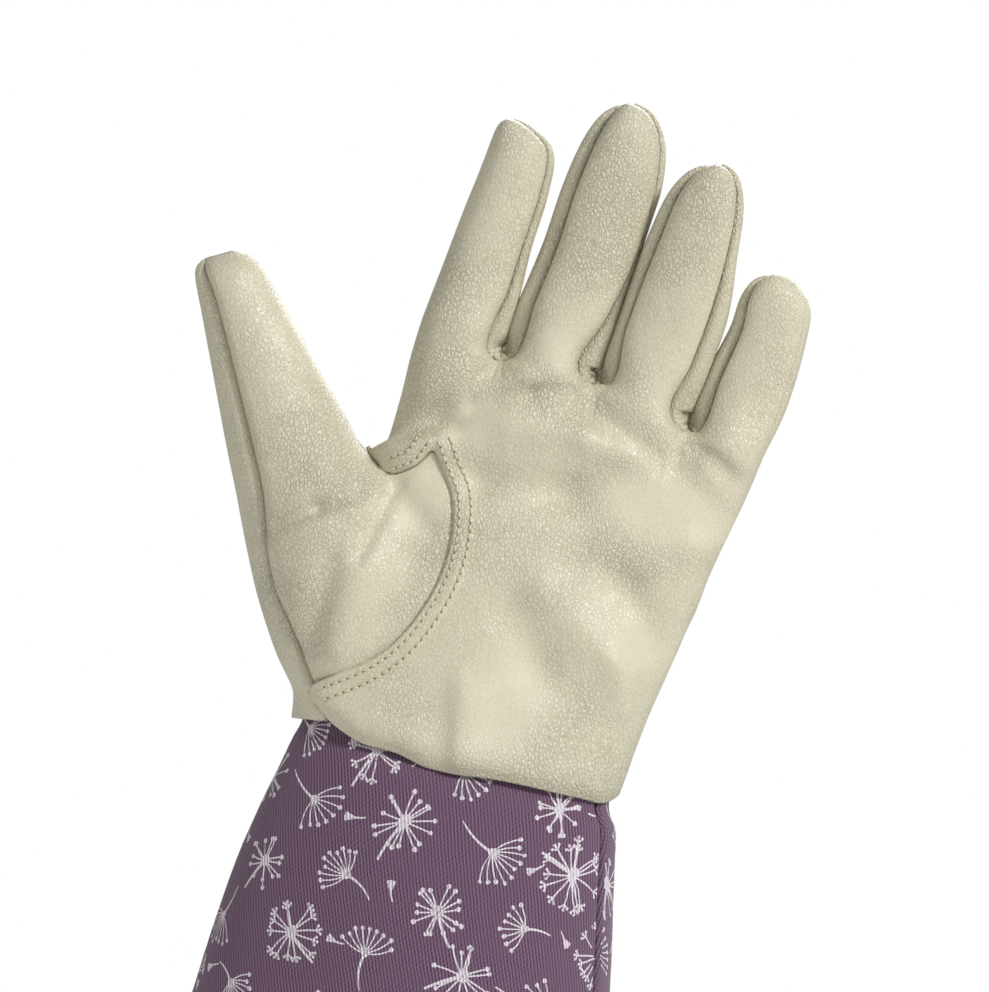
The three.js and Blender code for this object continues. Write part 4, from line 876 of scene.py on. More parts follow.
def side_strip(name, index):
    """Makes one strip: down the right side of a finger, round the crotch and up the next finger."""
    rows = np.linspace(0, 1, STRIP_ROWS)
    t = mix(0, STRIP_END - STRIP_LAST, rows ** STRIP_CROWDING)
    crotch = np.array(CROTCHES[index][:2])
    between = np.array(CROTCHES[index][2:]) - crotch
    between = np.array([between[1], -between[0]]) / np.linalg.norm(between)
    path, outs, seams, leans, sides = [], [], [], [], []
    for finger_index, side, order in ((index, 1, slice(None, None, -1)), (index + 1, 0, slice(1, None))):
        row = row_at(FINGERS[finger_index]["rows"], t)
        path.append((row[:, 3:5] if side else row[:, 1:3])[order])
        outs.append((row[:, 5 + side] * np.sqrt(np.clip(1 - (t / STRIP_END) ** BULGE_END, 0, 1)))[order])
        seams.append((SIDE_STRIP * np.sqrt(np.clip((STRIP_END - t) / STRIP_TAPER, 0, 1)))[order])
        leans.append((-FINGERS[finger_index]["curl"] * t ** CURL_POWER)[order])
        sides.append(np.full(len(t), -1 if side else 1)[order])
    path, outs, seams, leans, sides = [np.concatenate(part) for part in (path, outs, seams, leans, sides)]
    step = np.gradient(path, axis=0)
    step /= np.linalg.norm(step, axis=1, keepdims=True)
    normal = np.stack([-step[:, 1], step[:, 0]], axis=-1)
    free = (path - crotch) @ between * sides
    closing = -(normal @ between) * sides
    faces_other = closing > FACING
    limit = np.maximum(free + PAST_MIDDLE, LEAST_BULGE) / np.maximum(closing, FACING)
    limit = np.where(faces_other, limit, outs)
    closed = np.minimum(np.where(faces_other, limit, CROTCH_BULGE), MOST_BULGE)
    outs = np.minimum(outs, limit)
    for _ in range(3):  # rounds of smoothing along the strip
        outs[1:-1] = (outs[:-2] + 2 * outs[1:-1] + outs[2:]) / 4
        closed[1:-1] = (closed[:-2] + 2 * closed[1:-1] + closed[2:]) / 4
    v = np.linspace(-1, 1, STRIP_COLUMNS)[:, None]
    length = np.concatenate([[0], np.cumsum(np.linalg.norm(np.diff(path, axis=0), axis=1))])
    length -= length[len(t) - 1]
    hollow = HOLLOW["depth"] * np.exp(-(((np.abs(length) - HOLLOW["place"]) / HOLLOW["width"]) ** 2))
    gathers = np.exp(-((length / GATHER["reach"]) ** 2)) * np.cos(length * GATHER["pitch"])
    hollow += GATHER["height"] * gathers
    closed = mix(outs, closed, np.exp(-((length / CLOSED_REACH) ** 4)))
    out = mix(np.maximum(outs - hollow, HOLLOW["least"]), closed,
              smooth((v - CLOSED_HALF[0]) / CLOSED_HALF[1]))
    out = out * (1 - v ** BULGE_ROUND[0]) ** BULGE_ROUND[1]
    grid = np.stack([path[None, :, 0] + normal[None, :, 0] * out, leans[None, :] + v * seams[None, :],
                     path[None, :, 1] + normal[None, :, 1] * out], axis=-1)
    points, faces = weld([(grid, False)])
    points = open_crotches(relax(points, faces, 3))
    seam = border_points(points, faces, lambda x, y, z: z > 0)
    points = turn_in(points, faces, seam, depth=0.5, width=1.2)
    points, faces = add_allowance(points, faces, lambda x, y, z: z > 0)
    strip = make_piece("leather_" + name, points, faces, leather, LEATHER, name)


side_strip("side_strip_index_middle", 0)
side_strip("side_strip_middle_ring", 1)
side_strip("side_strip_ring_little", 2)

# Thumb
# Two pieces of the leather. The front is let into the thumb hole, under the palm panel's folded edge.
# The back wraps round the outer side, and turned seams join the two along the thumb.

ROOT_START = 0.03  # share of the thumb hole's edge where the front begins
LAP = 3  # how far the front reaches under the palm panel's folded edge
NO_LAP = -0.2  # where it only meets that edge
UNDER = 0.8  # how deep below the palm panel it lies there
LAP_ENDS = (0.12, 0.92, 0.2)  # the lap grows and ends beyond these shares of the hole, over the third
SINK = {"start": 0.6, "end": 0.08}  # shares of row and hole over which the front sinks to that depth
SHOWS = (2.2, 3.5)  # it stays sunk this near the hole, and rises to the surface over this distance
WRIST_TUCK = 3  # length tucked in at the wrist
WRIST_POWER = 12  # keeps that tuck close to the wrist
TOP_POWER = 6  # and the passage to the thumb's own rows close to the hole's top
MERGE = 14  # length over which the thumb's section frees itself from the hand's
ROOT_ROWS, ROOT_COLUMNS = 70, 61
NARROW = 43  # columns that go on up the thumb; the rest ends under the folded web
THUMB_ROWS = 90
LEVEL_POWER = 8  # how soon the slanting first row of the thumb straightens out
TIP_CROWDING = 0.9  # below 1 the rows are closer near the tip
SEAM_GAP = 0.01  # radians between the front and the inner seam
TIP_PART = 62  # from here on the thumb is free of palm and back panel and has two seams
# The inner seam: place along the thumb's axis and angle round it from the middle of the front
THUMB_INNER_SEAM = [[52.6, 62], [58, 71], [62, 85], [68, 98], [76, 106], [84, 112]]


def outer_angle(a):
    """Angle of the outer seam round the thumb."""
    thumb = thumb_section(a)
    return -np.arcsin(np.clip((thumb["middle"] - thumb["seam"]) / thumb["half"], -1, 1))


def inner_angle(a):
    """Angle of the inner seam round the thumb."""
    return np.radians(row_at(THUMB_INNER_SEAM, a)[..., 1])


def thumb_point(a, angle):
    """A point of the thumb: a along it, the angle round it from the middle of its front."""
    a, angle = np.broadcast_arrays(a, angle)
    thumb = thumb_section(a)
    b = thumb["middle"] + thumb["half"] * np.sin(angle)
    x, z = from_thumb(a, b)
    y = np.zeros(a.shape)
    for side in (-1, 1):
        free = smooth((a - THUMB_ROOT) / MERGE)
        depth = mix(hand_depth(x, z, side), thumb_side_depth(a, b, side), free)
        y = np.where((np.cos(angle) >= 0) == (side < 0), side * depth, y)
    return np.stack([x, y, z], axis=-1)


rise = np.linspace(ROOT_START, 1, ROOT_ROWS)[:, None]
share = np.linspace(0, 1, ROOT_COLUMNS)[None, :]
hole = row_at_share(THUMB_HOLE, rise)
at_wrist = (1 - rise) ** WRIST_POWER
under_wrist = WRIST_TUCK * at_wrist
seam_a = mix(THUMB_HOLE[0][0], THUMB_ROOT, rise) - under_wrist
seam_b = thumb_section(seam_a)["seam"]
lapped = smooth((rise + LAP_ENDS[0]) / LAP_ENDS[2]) * smooth((LAP_ENDS[1] - rise) / LAP_ENDS[2])
inside = np.maximum(seam_b, hole[..., 1] + mix(NO_LAP, LAP, lapped))
x, z = from_thumb(mix(seam_a, hole[..., 0] - under_wrist, share), mix(seam_b, inside, share))
sunk = UNDER * np.maximum(smooth(share / SINK["start"]), at_wrist)
sunk *= mix(0.5, 1, smooth((1 - rise) / SINK["end"]))
distance = (1 - share) * (inside - seam_b)
near = np.maximum(1 - smooth((distance - SHOWS[0]) / SHOWS[1]), smooth(at_wrist * 2))
root = np.stack([x, -hand_depth(x, z, -1) + sunk * near, z], axis=-1)
u = np.linspace(0, 1, NARROW)
a = mix(THUMB_ROOT, WEB_FLAP[0][0], u)
over = thumb_point(a, mix(outer_angle(a), inner_angle(a) - SEAM_GAP, u))
flap = row_at_share(WEB_FLAP, np.linspace(0, 1, ROOT_COLUMNS - NARROW + 1)[1:])
x, z = from_thumb(flap[:, 0] + NO_LAP, flap[:, 1])
under_flap = np.stack([x, -hand_depth(x, z, -1) + UNDER / 2, z], axis=-1)
target = np.concatenate([over, under_flap])
root += (target - root[-1])[None] * (rise ** TOP_POWER)[..., None]
along = np.linspace(0, 1, THUMB_ROWS)[:, None]
start = mix(THUMB_ROOT, WEB_FLAP[0][0], u[None, :] * (1 - along) ** LEVEL_POWER)
a = mix(start, THUMB_LENGTH, along ** TIP_CROWDING)
upper = thumb_point(a, mix(outer_angle(a), inner_angle(a) - SEAM_GAP * (1 - along), u[None, :]))
upper[0] = over
points, faces = weld([(root, False), (upper, False)])
points = relax(points, faces, EVEN_ROUNDS)
normals = normals_of(points, faces)
points = points + normals * relief(points, normals)[:, None]


def thumb_seam(x, y, z):
    """True along the thumb's outer and inner seams."""
    a, b = to_thumb(x, z)
    return (b < 8) | (a > TIP_PART)


# The front's edges roll in deep, so that the seams lie well inside the thumb's outline
points = turn_in(points, faces, border_points(points, faces, thumb_seam), depth=2.8, width=4.2)
thumb_front = make_piece("leather_thumb_front", points, faces, leather, LEATHER, "thumb_front")
mark_satin(thumb_front)

BACK_ROWS, BACK_COLUMNS = 150, 49
BACK_GAP = (68, 0.012)  # up to this place on its axis the back keeps this angle to the back panel
HEEL_ROWS = 15
HEEL_BULGE = {"out": 9.6, "down": 1, "power": 0.7}  # how the back's lower edge bulges round the wrist
HEEL_POWER = 3  # how close the wrist seam's own curve and depth stay to the thumb's edges
HEEL_EDGE = 0.42  # share of that edge where the front of the wrist ends
BACK_FOOT = 6  # its turned seams begin at this height

a = mix(THUMB_HOLE[0][0], THUMB_LENGTH, np.linspace(0, 1, BACK_ROWS) ** ROW_CROWDING)[:, None]
thumb = thumb_section(a)
seam_end = (row_at(THUMB_BACK_SEAM, a)[..., 1] - thumb["middle"]) / thumb["half"]
seam_end = np.arcsin(np.clip(seam_end, -1, 1))
end = np.where(a >= TIP_PART, math.pi - inner_angle(a), seam_end)
end = end - np.where(a < BACK_GAP[0], BACK_GAP[1], 0)
share = np.linspace(0, 1, BACK_COLUMNS)[None, :]
upper = thumb_point(a, math.pi - mix(-outer_angle(a) - math.pi, end, share))
rise = np.linspace(0, 1, HEEL_ROWS)[:, None]
bulge = np.sin(share * math.pi)
low_x = mix(PALM_HEM[0][0], BACK_HEM[0][0], share) - HEEL_BULGE["out"] * bulge ** HEEL_BULGE["power"]
low_z = mix(PALM_HEM[0][1], BACK_HEM[0][1], share) - HEEL_BULGE["down"] * bulge
straight = mix(np.array(wrist_seam[0]), np.array(wrist_seam[2]), rise[..., None])
curve = row_at_share(wrist_seam, rise) - straight
x = mix(low_x, upper[None, 0, :, 0], rise) + curve[..., 0] * (1 - share) ** HEEL_POWER
z = mix(low_z, upper[None, 0, :, 2], rise) + curve[..., 1] * (1 - share) ** HEEL_POWER
y = np.where(share < HEEL_EDGE, -hand_depth(x, z, -1), hand_depth(x, z, 1))
y = mix(y, upper[None, 0, :, 1], rise ** HEEL_POWER)
points, faces = weld([(upper, True), (np.stack([x, y, z], axis=-1), True)])
points = relax(points, faces, EVEN_ROUNDS)
in_front = border_points(points, faces, lambda x, y, z: (z > BACK_FOOT) & (y < 0))
points = turn_in(points, faces, in_front, depth=1.8, width=2.6)
behind = border_points(points, faces, lambda x, y, z: (z > BACK_FOOT) & (y >= 0))
points = turn_in(points, faces, behind, depth=1.0, width=2.0)
points, faces = add_allowance(points, faces, lambda x, y, z: z > BACK_FOOT, inward=2.0, outward=1.6)
thumb_back = make_piece("leather_thumb_back", points, faces, leather, LEATHER, "thumb_back")

# Stitching of the thumb hole
# Two rows of polyester thread, 3.2 mm apart, hold the folded edge of the palm panel down.
# A machine stitch shows 1.9 mm of thread and dips into its needle hole every 2.4 mm.


def fibres(name, scale, dark, light, roughness):
    """A material of fine fibres whose tone changes between two colours."""
    material, tree, surface = new_material(name)
    place = add(tree, "ShaderNodeTexCoord").outputs["Object"]
    ply = add(tree, "ShaderNodeTexNoise", {"Vector": place, "Scale": scale, "Detail": 2.0})
    tone = add(tree, "ShaderNodeMix", {0: ply.outputs["Fac"], 6: linear(dark), 7: linear(light)},
               data_type="RGBA")
    tree.links.new(tone.outputs[2], surface.inputs["Base Color"])
    surface.inputs["Roughness"].default_value = roughness
    return material, tree, surface, ply


# Polyester thread: cream, with its twist as fine darker and lighter lines that stand up a little
thread, tree, surface, ply = fibres("twisted_polyester_thread", 2600.0, "#B9AE88", "#E6DEC4", 0.6)
twist = add(tree, "ShaderNodeBump", {"Strength": 0.6, "Distance": 0.0001, "Height": ply.outputs["Fac"]})
tree.links.new(twist.outputs["Normal"], surface.inputs["Normal"])

# Painted shade of each needle hole: a dark disc, as matt as the leather's cut core
needle_hole = fibres("painted_needle_hole_shade", 1900.0, "#6A6048", "#9A9176", 0.8)[0]

# Sets one stitch on each of so many even places along a curve, turned along it
stitch_tree = bpy.data.node_groups.new("stitches", "GeometryNodeTree")
stitch_tree.interface.new_socket("Geometry", in_out="INPUT", socket_type="NodeSocketGeometry")
for title, value in (("Length", 0.0019), ("Width", 0.0009)):
    socket = stitch_tree.interface.new_socket(title, in_out="INPUT", socket_type="NodeSocketFloat")
    socket.default_value = value
stitch_tree.interface.new_socket("Count", in_out="INPUT", socket_type="NodeSocketInt").default_value = 2
stitch_tree.interface.new_socket("Material", in_out="INPUT", socket_type="NodeSocketMaterial")
stitch_tree.interface.new_socket("Geometry", in_out="OUTPUT", socket_type="NodeSocketGeometry")
given = add(stitch_tree, "NodeGroupInput")
spaced = add(stitch_tree, "GeometryNodeResampleCurve",
             {"Curve": given.outputs["Geometry"], "Count": given.outputs["Count"]}, mode="COUNT")
ball = add(stitch_tree, "GeometryNodeMeshUVSphere", {"Segments": 6, "Rings": 5, "Radius": 0.5})
size = add(stitch_tree, "ShaderNodeCombineXYZ", {"X": given.outputs["Length"], "Y": given.outputs["Width"],
                                                 "Z": given.outputs["Width"]})
tangent = add(stitch_tree, "GeometryNodeInputTangent")
turn = add(stitch_tree, "FunctionNodeAlignRotationToVector", {"Vector": tangent.outputs["Tangent"]},
           axis="X")
placed = add(stitch_tree, "GeometryNodeInstanceOnPoints",
             {"Points": spaced.outputs["Curve"], "Instance": ball.outputs["Mesh"],
              "Rotation": turn.outputs["Rotation"], "Scale": size.outputs["Vector"]})
real = add(stitch_tree, "GeometryNodeRealizeInstances", {"Geometry": placed.outputs["Instances"]})
painted = add(stitch_tree, "GeometryNodeSetMaterial",
              {"Geometry": real.outputs["Geometry"], "Material": given.outputs["Material"]})
add(stitch_tree, "NodeGroupOutput", {"Geometry": painted.outputs["Geometry"]})


def instance_along(name, path, slot, **inputs):
    """Sets stitches, or discs of painted needle-hole shade, along a path of points in metres."""
    line = bpy.data.curves.new(name, "CURVE")
    line.dimensions = "3D"
    spline = line.splines.new("POLY")
    spline.points.add(len(path) - 1)
    for point, place in zip(spline.points, path):
        point.co = (*place, 1)
    guide = bpy.data.objects.new(name, line)
    bpy.context.scene.collection.objects.link(guide)
    modifier = guide.modifiers.new("stitches", "NODES")
    modifier.node_group = stitch_tree
    for socket in stitch_tree.interface.items_tree:
        if socket.in_out == "INPUT" and socket.name in inputs:
            modifier[socket.identifier] = inputs[socket.name]
    mesh = bpy.data.meshes.new_from_object(guide.evaluated_get(bpy.context.evaluated_depsgraph_get()))
    bpy.data.objects.remove(guide)
    row = bpy.data.objects.new(name, mesh)
    bpy.context.scene.collection.objects.link(row)
    mesh.polygons.foreach_set("use_smooth", [True] * len(mesh.polygons))
    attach(row, "root")


PITCH = 2.4
STITCH_LIFT = 0.2  # the thread's middle above the leather
HOLE_SINK = -0.15  # the needle hole's middle below it
STITCH = {"Length": 0.0019, "Width": 0.00065}  # metres
NEEDLE_HOLE = {"Length": 0.0008, "Width": 0.00075}  # metres


def on_palm(x, z, lift):
    """The palm's surface at x, z in millimetres, seen from the front, lifted off it."""
    hit, normal, _, _ = palm_tree.ray_cast(Vector((x * TO_METRES, -0.2, z * TO_METRES)), Vector((0, 1, 0)))
    return None if hit is None else hit + normal * (lift * TO_METRES) * (-1 if normal.y > 0 else 1)


def sew(name, line):
    """Sews the palm along a line of x and z: a stitch at each pitch, a disc of painted hole shade between
    two.
    """
    path = np.array([hit for hit in (on_palm(*point, STITCH_LIFT) for point in line) if hit])
    low = np.array([hit for hit in (on_palm(*point, HOLE_SINK) for point in line) if hit])
    length = np.concatenate([[0], np.cumsum(np.linalg.norm(np.diff(path, axis=0), axis=1))])
    count = max(int(round(length[-1] / (PITCH * TO_METRES))) + 1, 3)
    half = length[-1] / (count - 1) / 2
    inner = np.linspace(half, length[-1] - half, 3 * len(path))
    holes = np.stack([np.interp(inner, length, low[:, k]) for k in range(3)], axis=-1)
    instance_along(name, path, "leather", Count=count, Material=thread, **STITCH)
    # Dark discs of painted shade sit in the needle holes between the stitches
    instance_along(name + "_holes", holes, "leather", Count=count - 1, Material=needle_hole, **NEEDLE_HOLE)


def beside(line, offset):
    """The line moved sideways, to its right seen from the front."""
    step = np.gradient(line, axis=0)
    step /= np.linalg.norm(step, axis=1, keepdims=True)
    return line + offset * np.stack([step[:, 1], -step[:, 0]], axis=-1)


# The rows begin a little above the wrist and stop short of the folded web's end
hole_line = edge_line(THUMB_HOLE, np.linspace(0.02, 1, 120))
web_line = edge_line(WEB_FLAP, np.linspace(1, 0.12, 50))
for name, offset in zip(("inner", "outer"), STITCH_ROWS):
    sew("thumb_hole_stitches_" + name, beside(hole_line, offset))
    sew("web_stitches_" + name, beside(web_line, offset))

# Sleeve
# Two panels of purple cotton twill, sewn into the leather at the wrist and flaring to the elbow,
# with a turned hem at the end. The steep ribs of the twill are 0.95 mm apart.

CLOTH = 1.2  # thickness
# Sections: height, left side, right side, depth in front, depth behind
SLEEVE = [
    [-188, -60.4, 79.6, 48.0, 48.0],
    [-150, -57.4, 75.4, 45.4, 45.4],
    [-110, -54.8, 70.4, 41.8, 41.6],
    [-80, -53.6, 65.6, 38.4, 38.0],
    [-60, -53.3, 61.3, 35.6, 35.2],
    [-40, -52.4, 56.4, 32.4, 31.8],
    [-24, -50.4, 52.2, 29.6, 28.8],
    [-12, -48.3, 49.2, 27.0, 26.0],
    [-4, -47.0, 47.0, 24.6, 23.6],
    [0, -46.0, 44.2, 21.4, 20.2],
    [4, -45.4, 43.0, 20.6, 19.4],
    [10, -45.0, 42.8, 19.8, 18.6],
]
SLEEVE_SEAMS = (-104, 66, 256)  # degrees round from the middle of the front
SLEEVE_SQUARE = 0.92  # below 1 a section is a little squarer than an ellipse
# Broad waves of the hanging cloth: height, the length over which they grow from the wrist down, how
# many lie round the sleeve and their shift in radians, and how fast they run down it
SLEEVE_WAVES = {"height": 1.4, "growth": 120, "count": 3, "shift": 0.6, "run": 40}
SLEEVE_COLUMNS, SLEEVE_ROWS = 151, 150


def sleeve_point(angle, z):
    """A point of the sleeve: the angle in degrees round it from the middle of its front."""
    _, left_side, right_side, front, behind = np.moveaxis(row_at(SLEEVE, z), -1, 0)
    turn = np.radians(angle)
    wave = SLEEVE_WAVES["height"] * smooth(-z / SLEEVE_WAVES["growth"])
    wave = wave * np.sin(SLEEVE_WAVES["count"] * turn + SLEEVE_WAVES["shift"])
    wave = wave * np.sin(-z / SLEEVE_WAVES["run"])
    sine, cosine = np.sin(turn), np.cos(turn)
    half = (right_side - left_side) / 2 + wave
    x = (left_side + right_side) / 2 + half * np.sign(sine) * np.abs(sine) ** SLEEVE_SQUARE
    depth = np.where(cosine >= 0, front, behind) + wave
    return np.stack([x, -depth * np.sign(cosine) * np.abs(cosine) ** SLEEVE_SQUARE, z + 0 * angle], axis=-1)


# Metres from rib to rib and from step to step across them; a wave texture of scale 1 repeats every
# 0.314 of its coordinates
RIB_PITCH, STEP_PITCH, WAVE_LENGTH = 0.00095, 0.0011, 0.314
STEP_TURN = 1.05  # radians between the ribs and the steps


def twill(name, lean, yarn_dark, yarn_light):
    """Cotton twill: fine steep ribs with the ground dark between them, and a dry, fuzzy face."""
    material, tree, surface = new_material(name)
    lay = add(tree, "ShaderNodeUVMap", uv_map="cloth").outputs["UV"]
    laid = add(tree, "ShaderNodeMapping", {"Vector": lay, "Rotation": (0, 0, lean)})
    ribs = add(tree, "ShaderNodeTexWave",
               {"Vector": laid.outputs["Vector"], "Scale": WAVE_LENGTH / RIB_PITCH,
                "Distortion": 1.6, "Detail": 2.0, "Detail Scale": 0.7})
    steps = add(tree, "ShaderNodeMapping", {"Vector": lay, "Rotation": (0, 0, lean + STEP_TURN)})
    across = add(tree, "ShaderNodeTexWave",
                 {"Vector": steps.outputs["Vector"], "Scale": WAVE_LENGTH / STEP_PITCH,
                  "Distortion": 2.5, "Detail": 2.0})
    yarn = add(tree, "ShaderNodeMix", {0: 0.22, 2: ribs.outputs["Fac"], 3: across.outputs["Fac"]},
               data_type="FLOAT")
    slub = add(tree, "ShaderNodeTexNoise", {"Vector": lay, "Scale": 90.0, "Detail": 6.0, "Roughness": 0.75})
    patch = add(tree, "ShaderNodeMapRange",
                {"Value": slub.outputs["Fac"], "From Min": 0.35, "From Max": 0.75, "To Max": 0.7})
    worn = add(tree, "ShaderNodeMix", {0: patch.outputs["Result"], 2: yarn.outputs[0], 3: 0.5},
               data_type="FLOAT")
    colour = add(tree, "ShaderNodeMix", {0: worn.outputs[0], 6: linear(yarn_dark), 7: linear(yarn_light)},
                 data_type="RGBA")
    bump = add(tree, "ShaderNodeBump", {"Strength": 0.8, "Distance": 0.0003, "Height": yarn.outputs[0]})
    tree.links.new(colour.outputs[2], surface.inputs["Base Color"])
    tree.links.new(bump.outputs["Normal"], surface.inputs["Normal"])
    surface.inputs["Roughness"].default_value = 0.9
    surface.inputs["Sheen Weight"].default_value = 0.2
    return material


# Dyed cotton: deep plum ground between greyer purple ribs, dry and without gloss. The ribs of the two
# panels lean to different sides.
FRONT_LEAN, BACK_LEAN = -0.38, 0.55
PLUM, WORN_PURPLE = "#372235", "#83637F"
twill_front = twill("purple_cotton_twill_front", FRONT_LEAN, PLUM, WORN_PURPLE)
twill_back = twill("purple_cotton_twill_back", BACK_LEAN, PLUM, WORN_PURPLE)


def lay_out(start, stop):
    """The flat cloth of one half: angle, height, points and distance from its middle line in mm."""
    angle = np.linspace(start, stop, SLEEVE_COLUMNS)[None, :]
    z = np.linspace(SLEEVE[0][0], SLEEVE[-1][0], SLEEVE_ROWS)[:, None]
    grid = sleeve_point(angle, z)
    step = np.linalg.norm(np.diff(grid, axis=1), axis=-1)
    arc = np.concatenate([np.zeros((len(z), 1)), np.cumsum(step, axis=1)], axis=1)
    return angle, z, grid, arc - arc[:, [SLEEVE_COLUMNS // 2]]


CLOTH_LENGTH = 0.2  # metres, cut
SIDE_SEAM_ENDS = (-186, 5)  # the seams turn in between the hem and the leather


def sleeve_half(name, start, stop, material, node):
    """Makes one panel, with its weave laid out on the flat cloth."""
    _, z, grid, arc = lay_out(start, stop)
    points, faces = weld([(grid, False)])
    keys = [tuple(key) for key in np.round(points, 2)]
    flat_places = zip(grid.reshape(-1, 3), arc.ravel(), np.repeat(z, SLEEVE_COLUMNS))
    places = {tuple(np.round(point, 2)): (u, v) for point, u, v in flat_places}
    low, high = SIDE_SEAM_ENDS
    seam = border_points(points, faces, lambda x, y, z: (z < high) & (z > low))
    points = turn_in(points, faces, seam, depth=1.2, width=2.0)
    piece = make_piece(name, points, faces, material, CLOTH, node)
    uv = piece.data.uv_layers.new(name="cloth")
    for loop in piece.data.loops:
        u, v = places[keys[loop.vertex_index]]
        uv.data[loop.index].uv = (u * TO_METRES, v * TO_METRES)
    across = np.linalg.norm(np.diff(grid, axis=1), axis=-1)[:-1]
    down = np.linalg.norm(np.diff(grid, axis=0), axis=-1)[:, :-1]
    area = float(np.sum(across * down)) * TO_METRES ** 2
    flat = (float(arc.max() - arc.min()) * TO_METRES, CLOTH_LENGTH)
    area = min(area, flat[0] * flat[1])


FRONT_HALF, BACK_HALF = SLEEVE_SEAMS[:2], SLEEVE_SEAMS[1:]
sleeve_half("sleeve_front_panel", *FRONT_HALF, twill_front, "sleeve_front")
sleeve_half("sleeve_back_panel", *BACK_HALF, twill_back, "sleeve_back")

# The turned hem is held by one row of purple thread, 14 mm above the sleeve's end. The thread is a
# little lighter than the cloth, with a dull gleam.
HEM_HEIGHT = 14
HEM_PITCH = 0.003  # metres
HEM_STITCH = {"Length": 0.0024, "Width": 0.0006}  # metres
HEM_LIFT = 0.25  # the thread's middle outside the cloth
SEAM_MARGIN = 1.2  # degrees left free beside the side seams
hem_thread = fibres("purple_sewing_thread", 2600.0, "#5A3D58", "#9A7A96", 0.65)[0]
for name, (start, stop) in (("front", FRONT_HALF), ("back", BACK_HALF)):
    angle = np.linspace(start + SEAM_MARGIN, stop - SEAM_MARGIN, 300)
    line = sleeve_point(angle, np.full(len(angle), SLEEVE[0][0] + HEM_HEIGHT, float))
    out = line - line.mean(axis=0)
    line = (line + HEM_LIFT * out / np.linalg.norm(out, axis=1, keepdims=True)) * TO_METRES
    length = float(np.linalg.norm(np.diff(line, axis=0), axis=1).sum())
    instance_along("hem_stitches_" + name, line, "sleeve_twill", Count=int(length / HEM_PITCH),
                   Material=hem_thread, **HEM_STITCH)

# Printed flowers on the sleeve
# White ink, screen-printed on the twill: open seed heads, umbels on bent stalks and small sprigs,
# scattered by rule. Each stroke is a thin film of ink that lies on the cloth.

INK_LIFT = 0.07  # the film's height over the cloth
# Printing ink: a pale lilac white that the ribs of the cloth show through
print_ink = twill("white_printing_ink_on_twill", FRONT_LEAN, "#AC9CAC", "#F4F0F3")


def stroke(points, width, taper=1.0):
    """A line of ink as (centre, half width) along its points."""
    points = np.asarray(points, float)
    return points, np.linspace(width, width * taper, len(points)) / 2


def dot(centre, radius):
    """A round dot of ink, drawn as a short wide stroke with narrow ends."""
    t = np.linspace(-1, 1, 6)
    points = np.stack([centre[0] + radius * t, centre[1] + 0 * t], axis=-1)
    return points, radius * np.sqrt(np.maximum(1 - t ** 2, 0.04))


def curved(start, direction, length, bend, count=6):
    """A bent line that leaves start in a direction, in radians."""
    t = np.linspace(0, 1, count)
    angle = direction + bend * t
    step = np.stack([np.cos(angle), np.sin(angle)], axis=-1) * length / (count - 1)
    return start + np.concatenate([[[0, 0]], np.cumsum(step[1:], axis=0)])


# In the three motifs the lengths are shares of the motif's size; widths and dots are in millimetres


def star_head(at, turn, size, rng):
    """An open seed head: rays all round from a knot, each with a small tuft or dot at its end."""
    strokes = [dot(at, size * 0.095), dot(at + [0.3, size * 0.03], size * 0.09)]
    rays = int(rng.integers(14, 18))
    forked = rng.random() < 0.5
    for n in range(rays):
        angle = turn + 2 * math.pi * n / rays + rng.normal(0, 0.08)
        length = size * rng.uniform(0.33, 0.48)
        line = curved(at, angle, length, rng.normal(0, 0.25), 5)
        strokes.append(stroke(line, 0.5, 0.9))
        if forked:
            for prong in (angle - 0.9, angle, angle + 0.9):
                strokes.append(stroke(curved(line[-1], prong, size * 0.07, 0, 2), 0.5))
                end = line[-1] + size * 0.08 * np.array([math.cos(prong), math.sin(prong)])
                strokes.append(dot(end, 0.44))
        else:
            strokes.append(dot(line[-1], rng.uniform(0.62, 0.76)))
    strokes.append(stroke(curved(at, turn - 1.1, size * rng.uniform(0.6, 0.72), 0.25, 7), 0.95, 0.7))
    return strokes


def umbel(at, turn, size, rng):
    """A fan of fine stalks with a dot on each, on one bent main stalk."""
    strokes = [dot(at, size * 0.07), dot(at + [0.4, 0.3], size * 0.06)]
    rays = int(rng.integers(8, 11))
    for n in range(rays):
        spread = (n / (rays - 1) - 0.5) * 2
        line = curved(at, turn + spread * 1.6, size * rng.uniform(0.44, 0.56), -spread * 0.7, 7)
        strokes.append(stroke(line, 0.42, 0.9))
        strokes.append(dot(line[-1], rng.uniform(0.55, 0.7)))
    bend = rng.uniform(0.4, 0.9) * rng.choice([-1, 1])
    stalk = curved(at, turn + math.pi - bend / 2, size * rng.uniform(0.55, 0.75), bend, 8)
    strokes.append(stroke(stalk, 0.8, 0.5))
    return strokes


def sprig(at, turn, size, rng):
    """A small bud of three prongs on a short stalk."""
    strokes = [stroke(curved(at, turn + math.pi, size * 0.5, rng.uniform(-0.5, 0.5), 5), 0.65, 0.6)]
    for side in (-0.6, 0, 0.6):
        line = curved(at, turn + side, size * 0.28, -side * 0.5, 4)
        strokes.append(stroke(line, 1.0, 0.6))
        strokes.append(dot(line[-1], 0.5))
    return strokes


FLOWERS = [(star_head, 17), (umbel, 16), (umbel, 14.5), (star_head, 19)]  # each with its size in mm
FLOWER_ROW, FLOWER_COLUMN = 19, 24  # about the distance from flower to flower, down and across
SPRIG_SIZES = (6, 8)
SIZE_SPREAD = (0.92, 1.08)  # share by which a flower's size varies
FLOWER_STRAY, SPRIG_STRAY = 1.3, 1.5  # how far they stray from an even grid


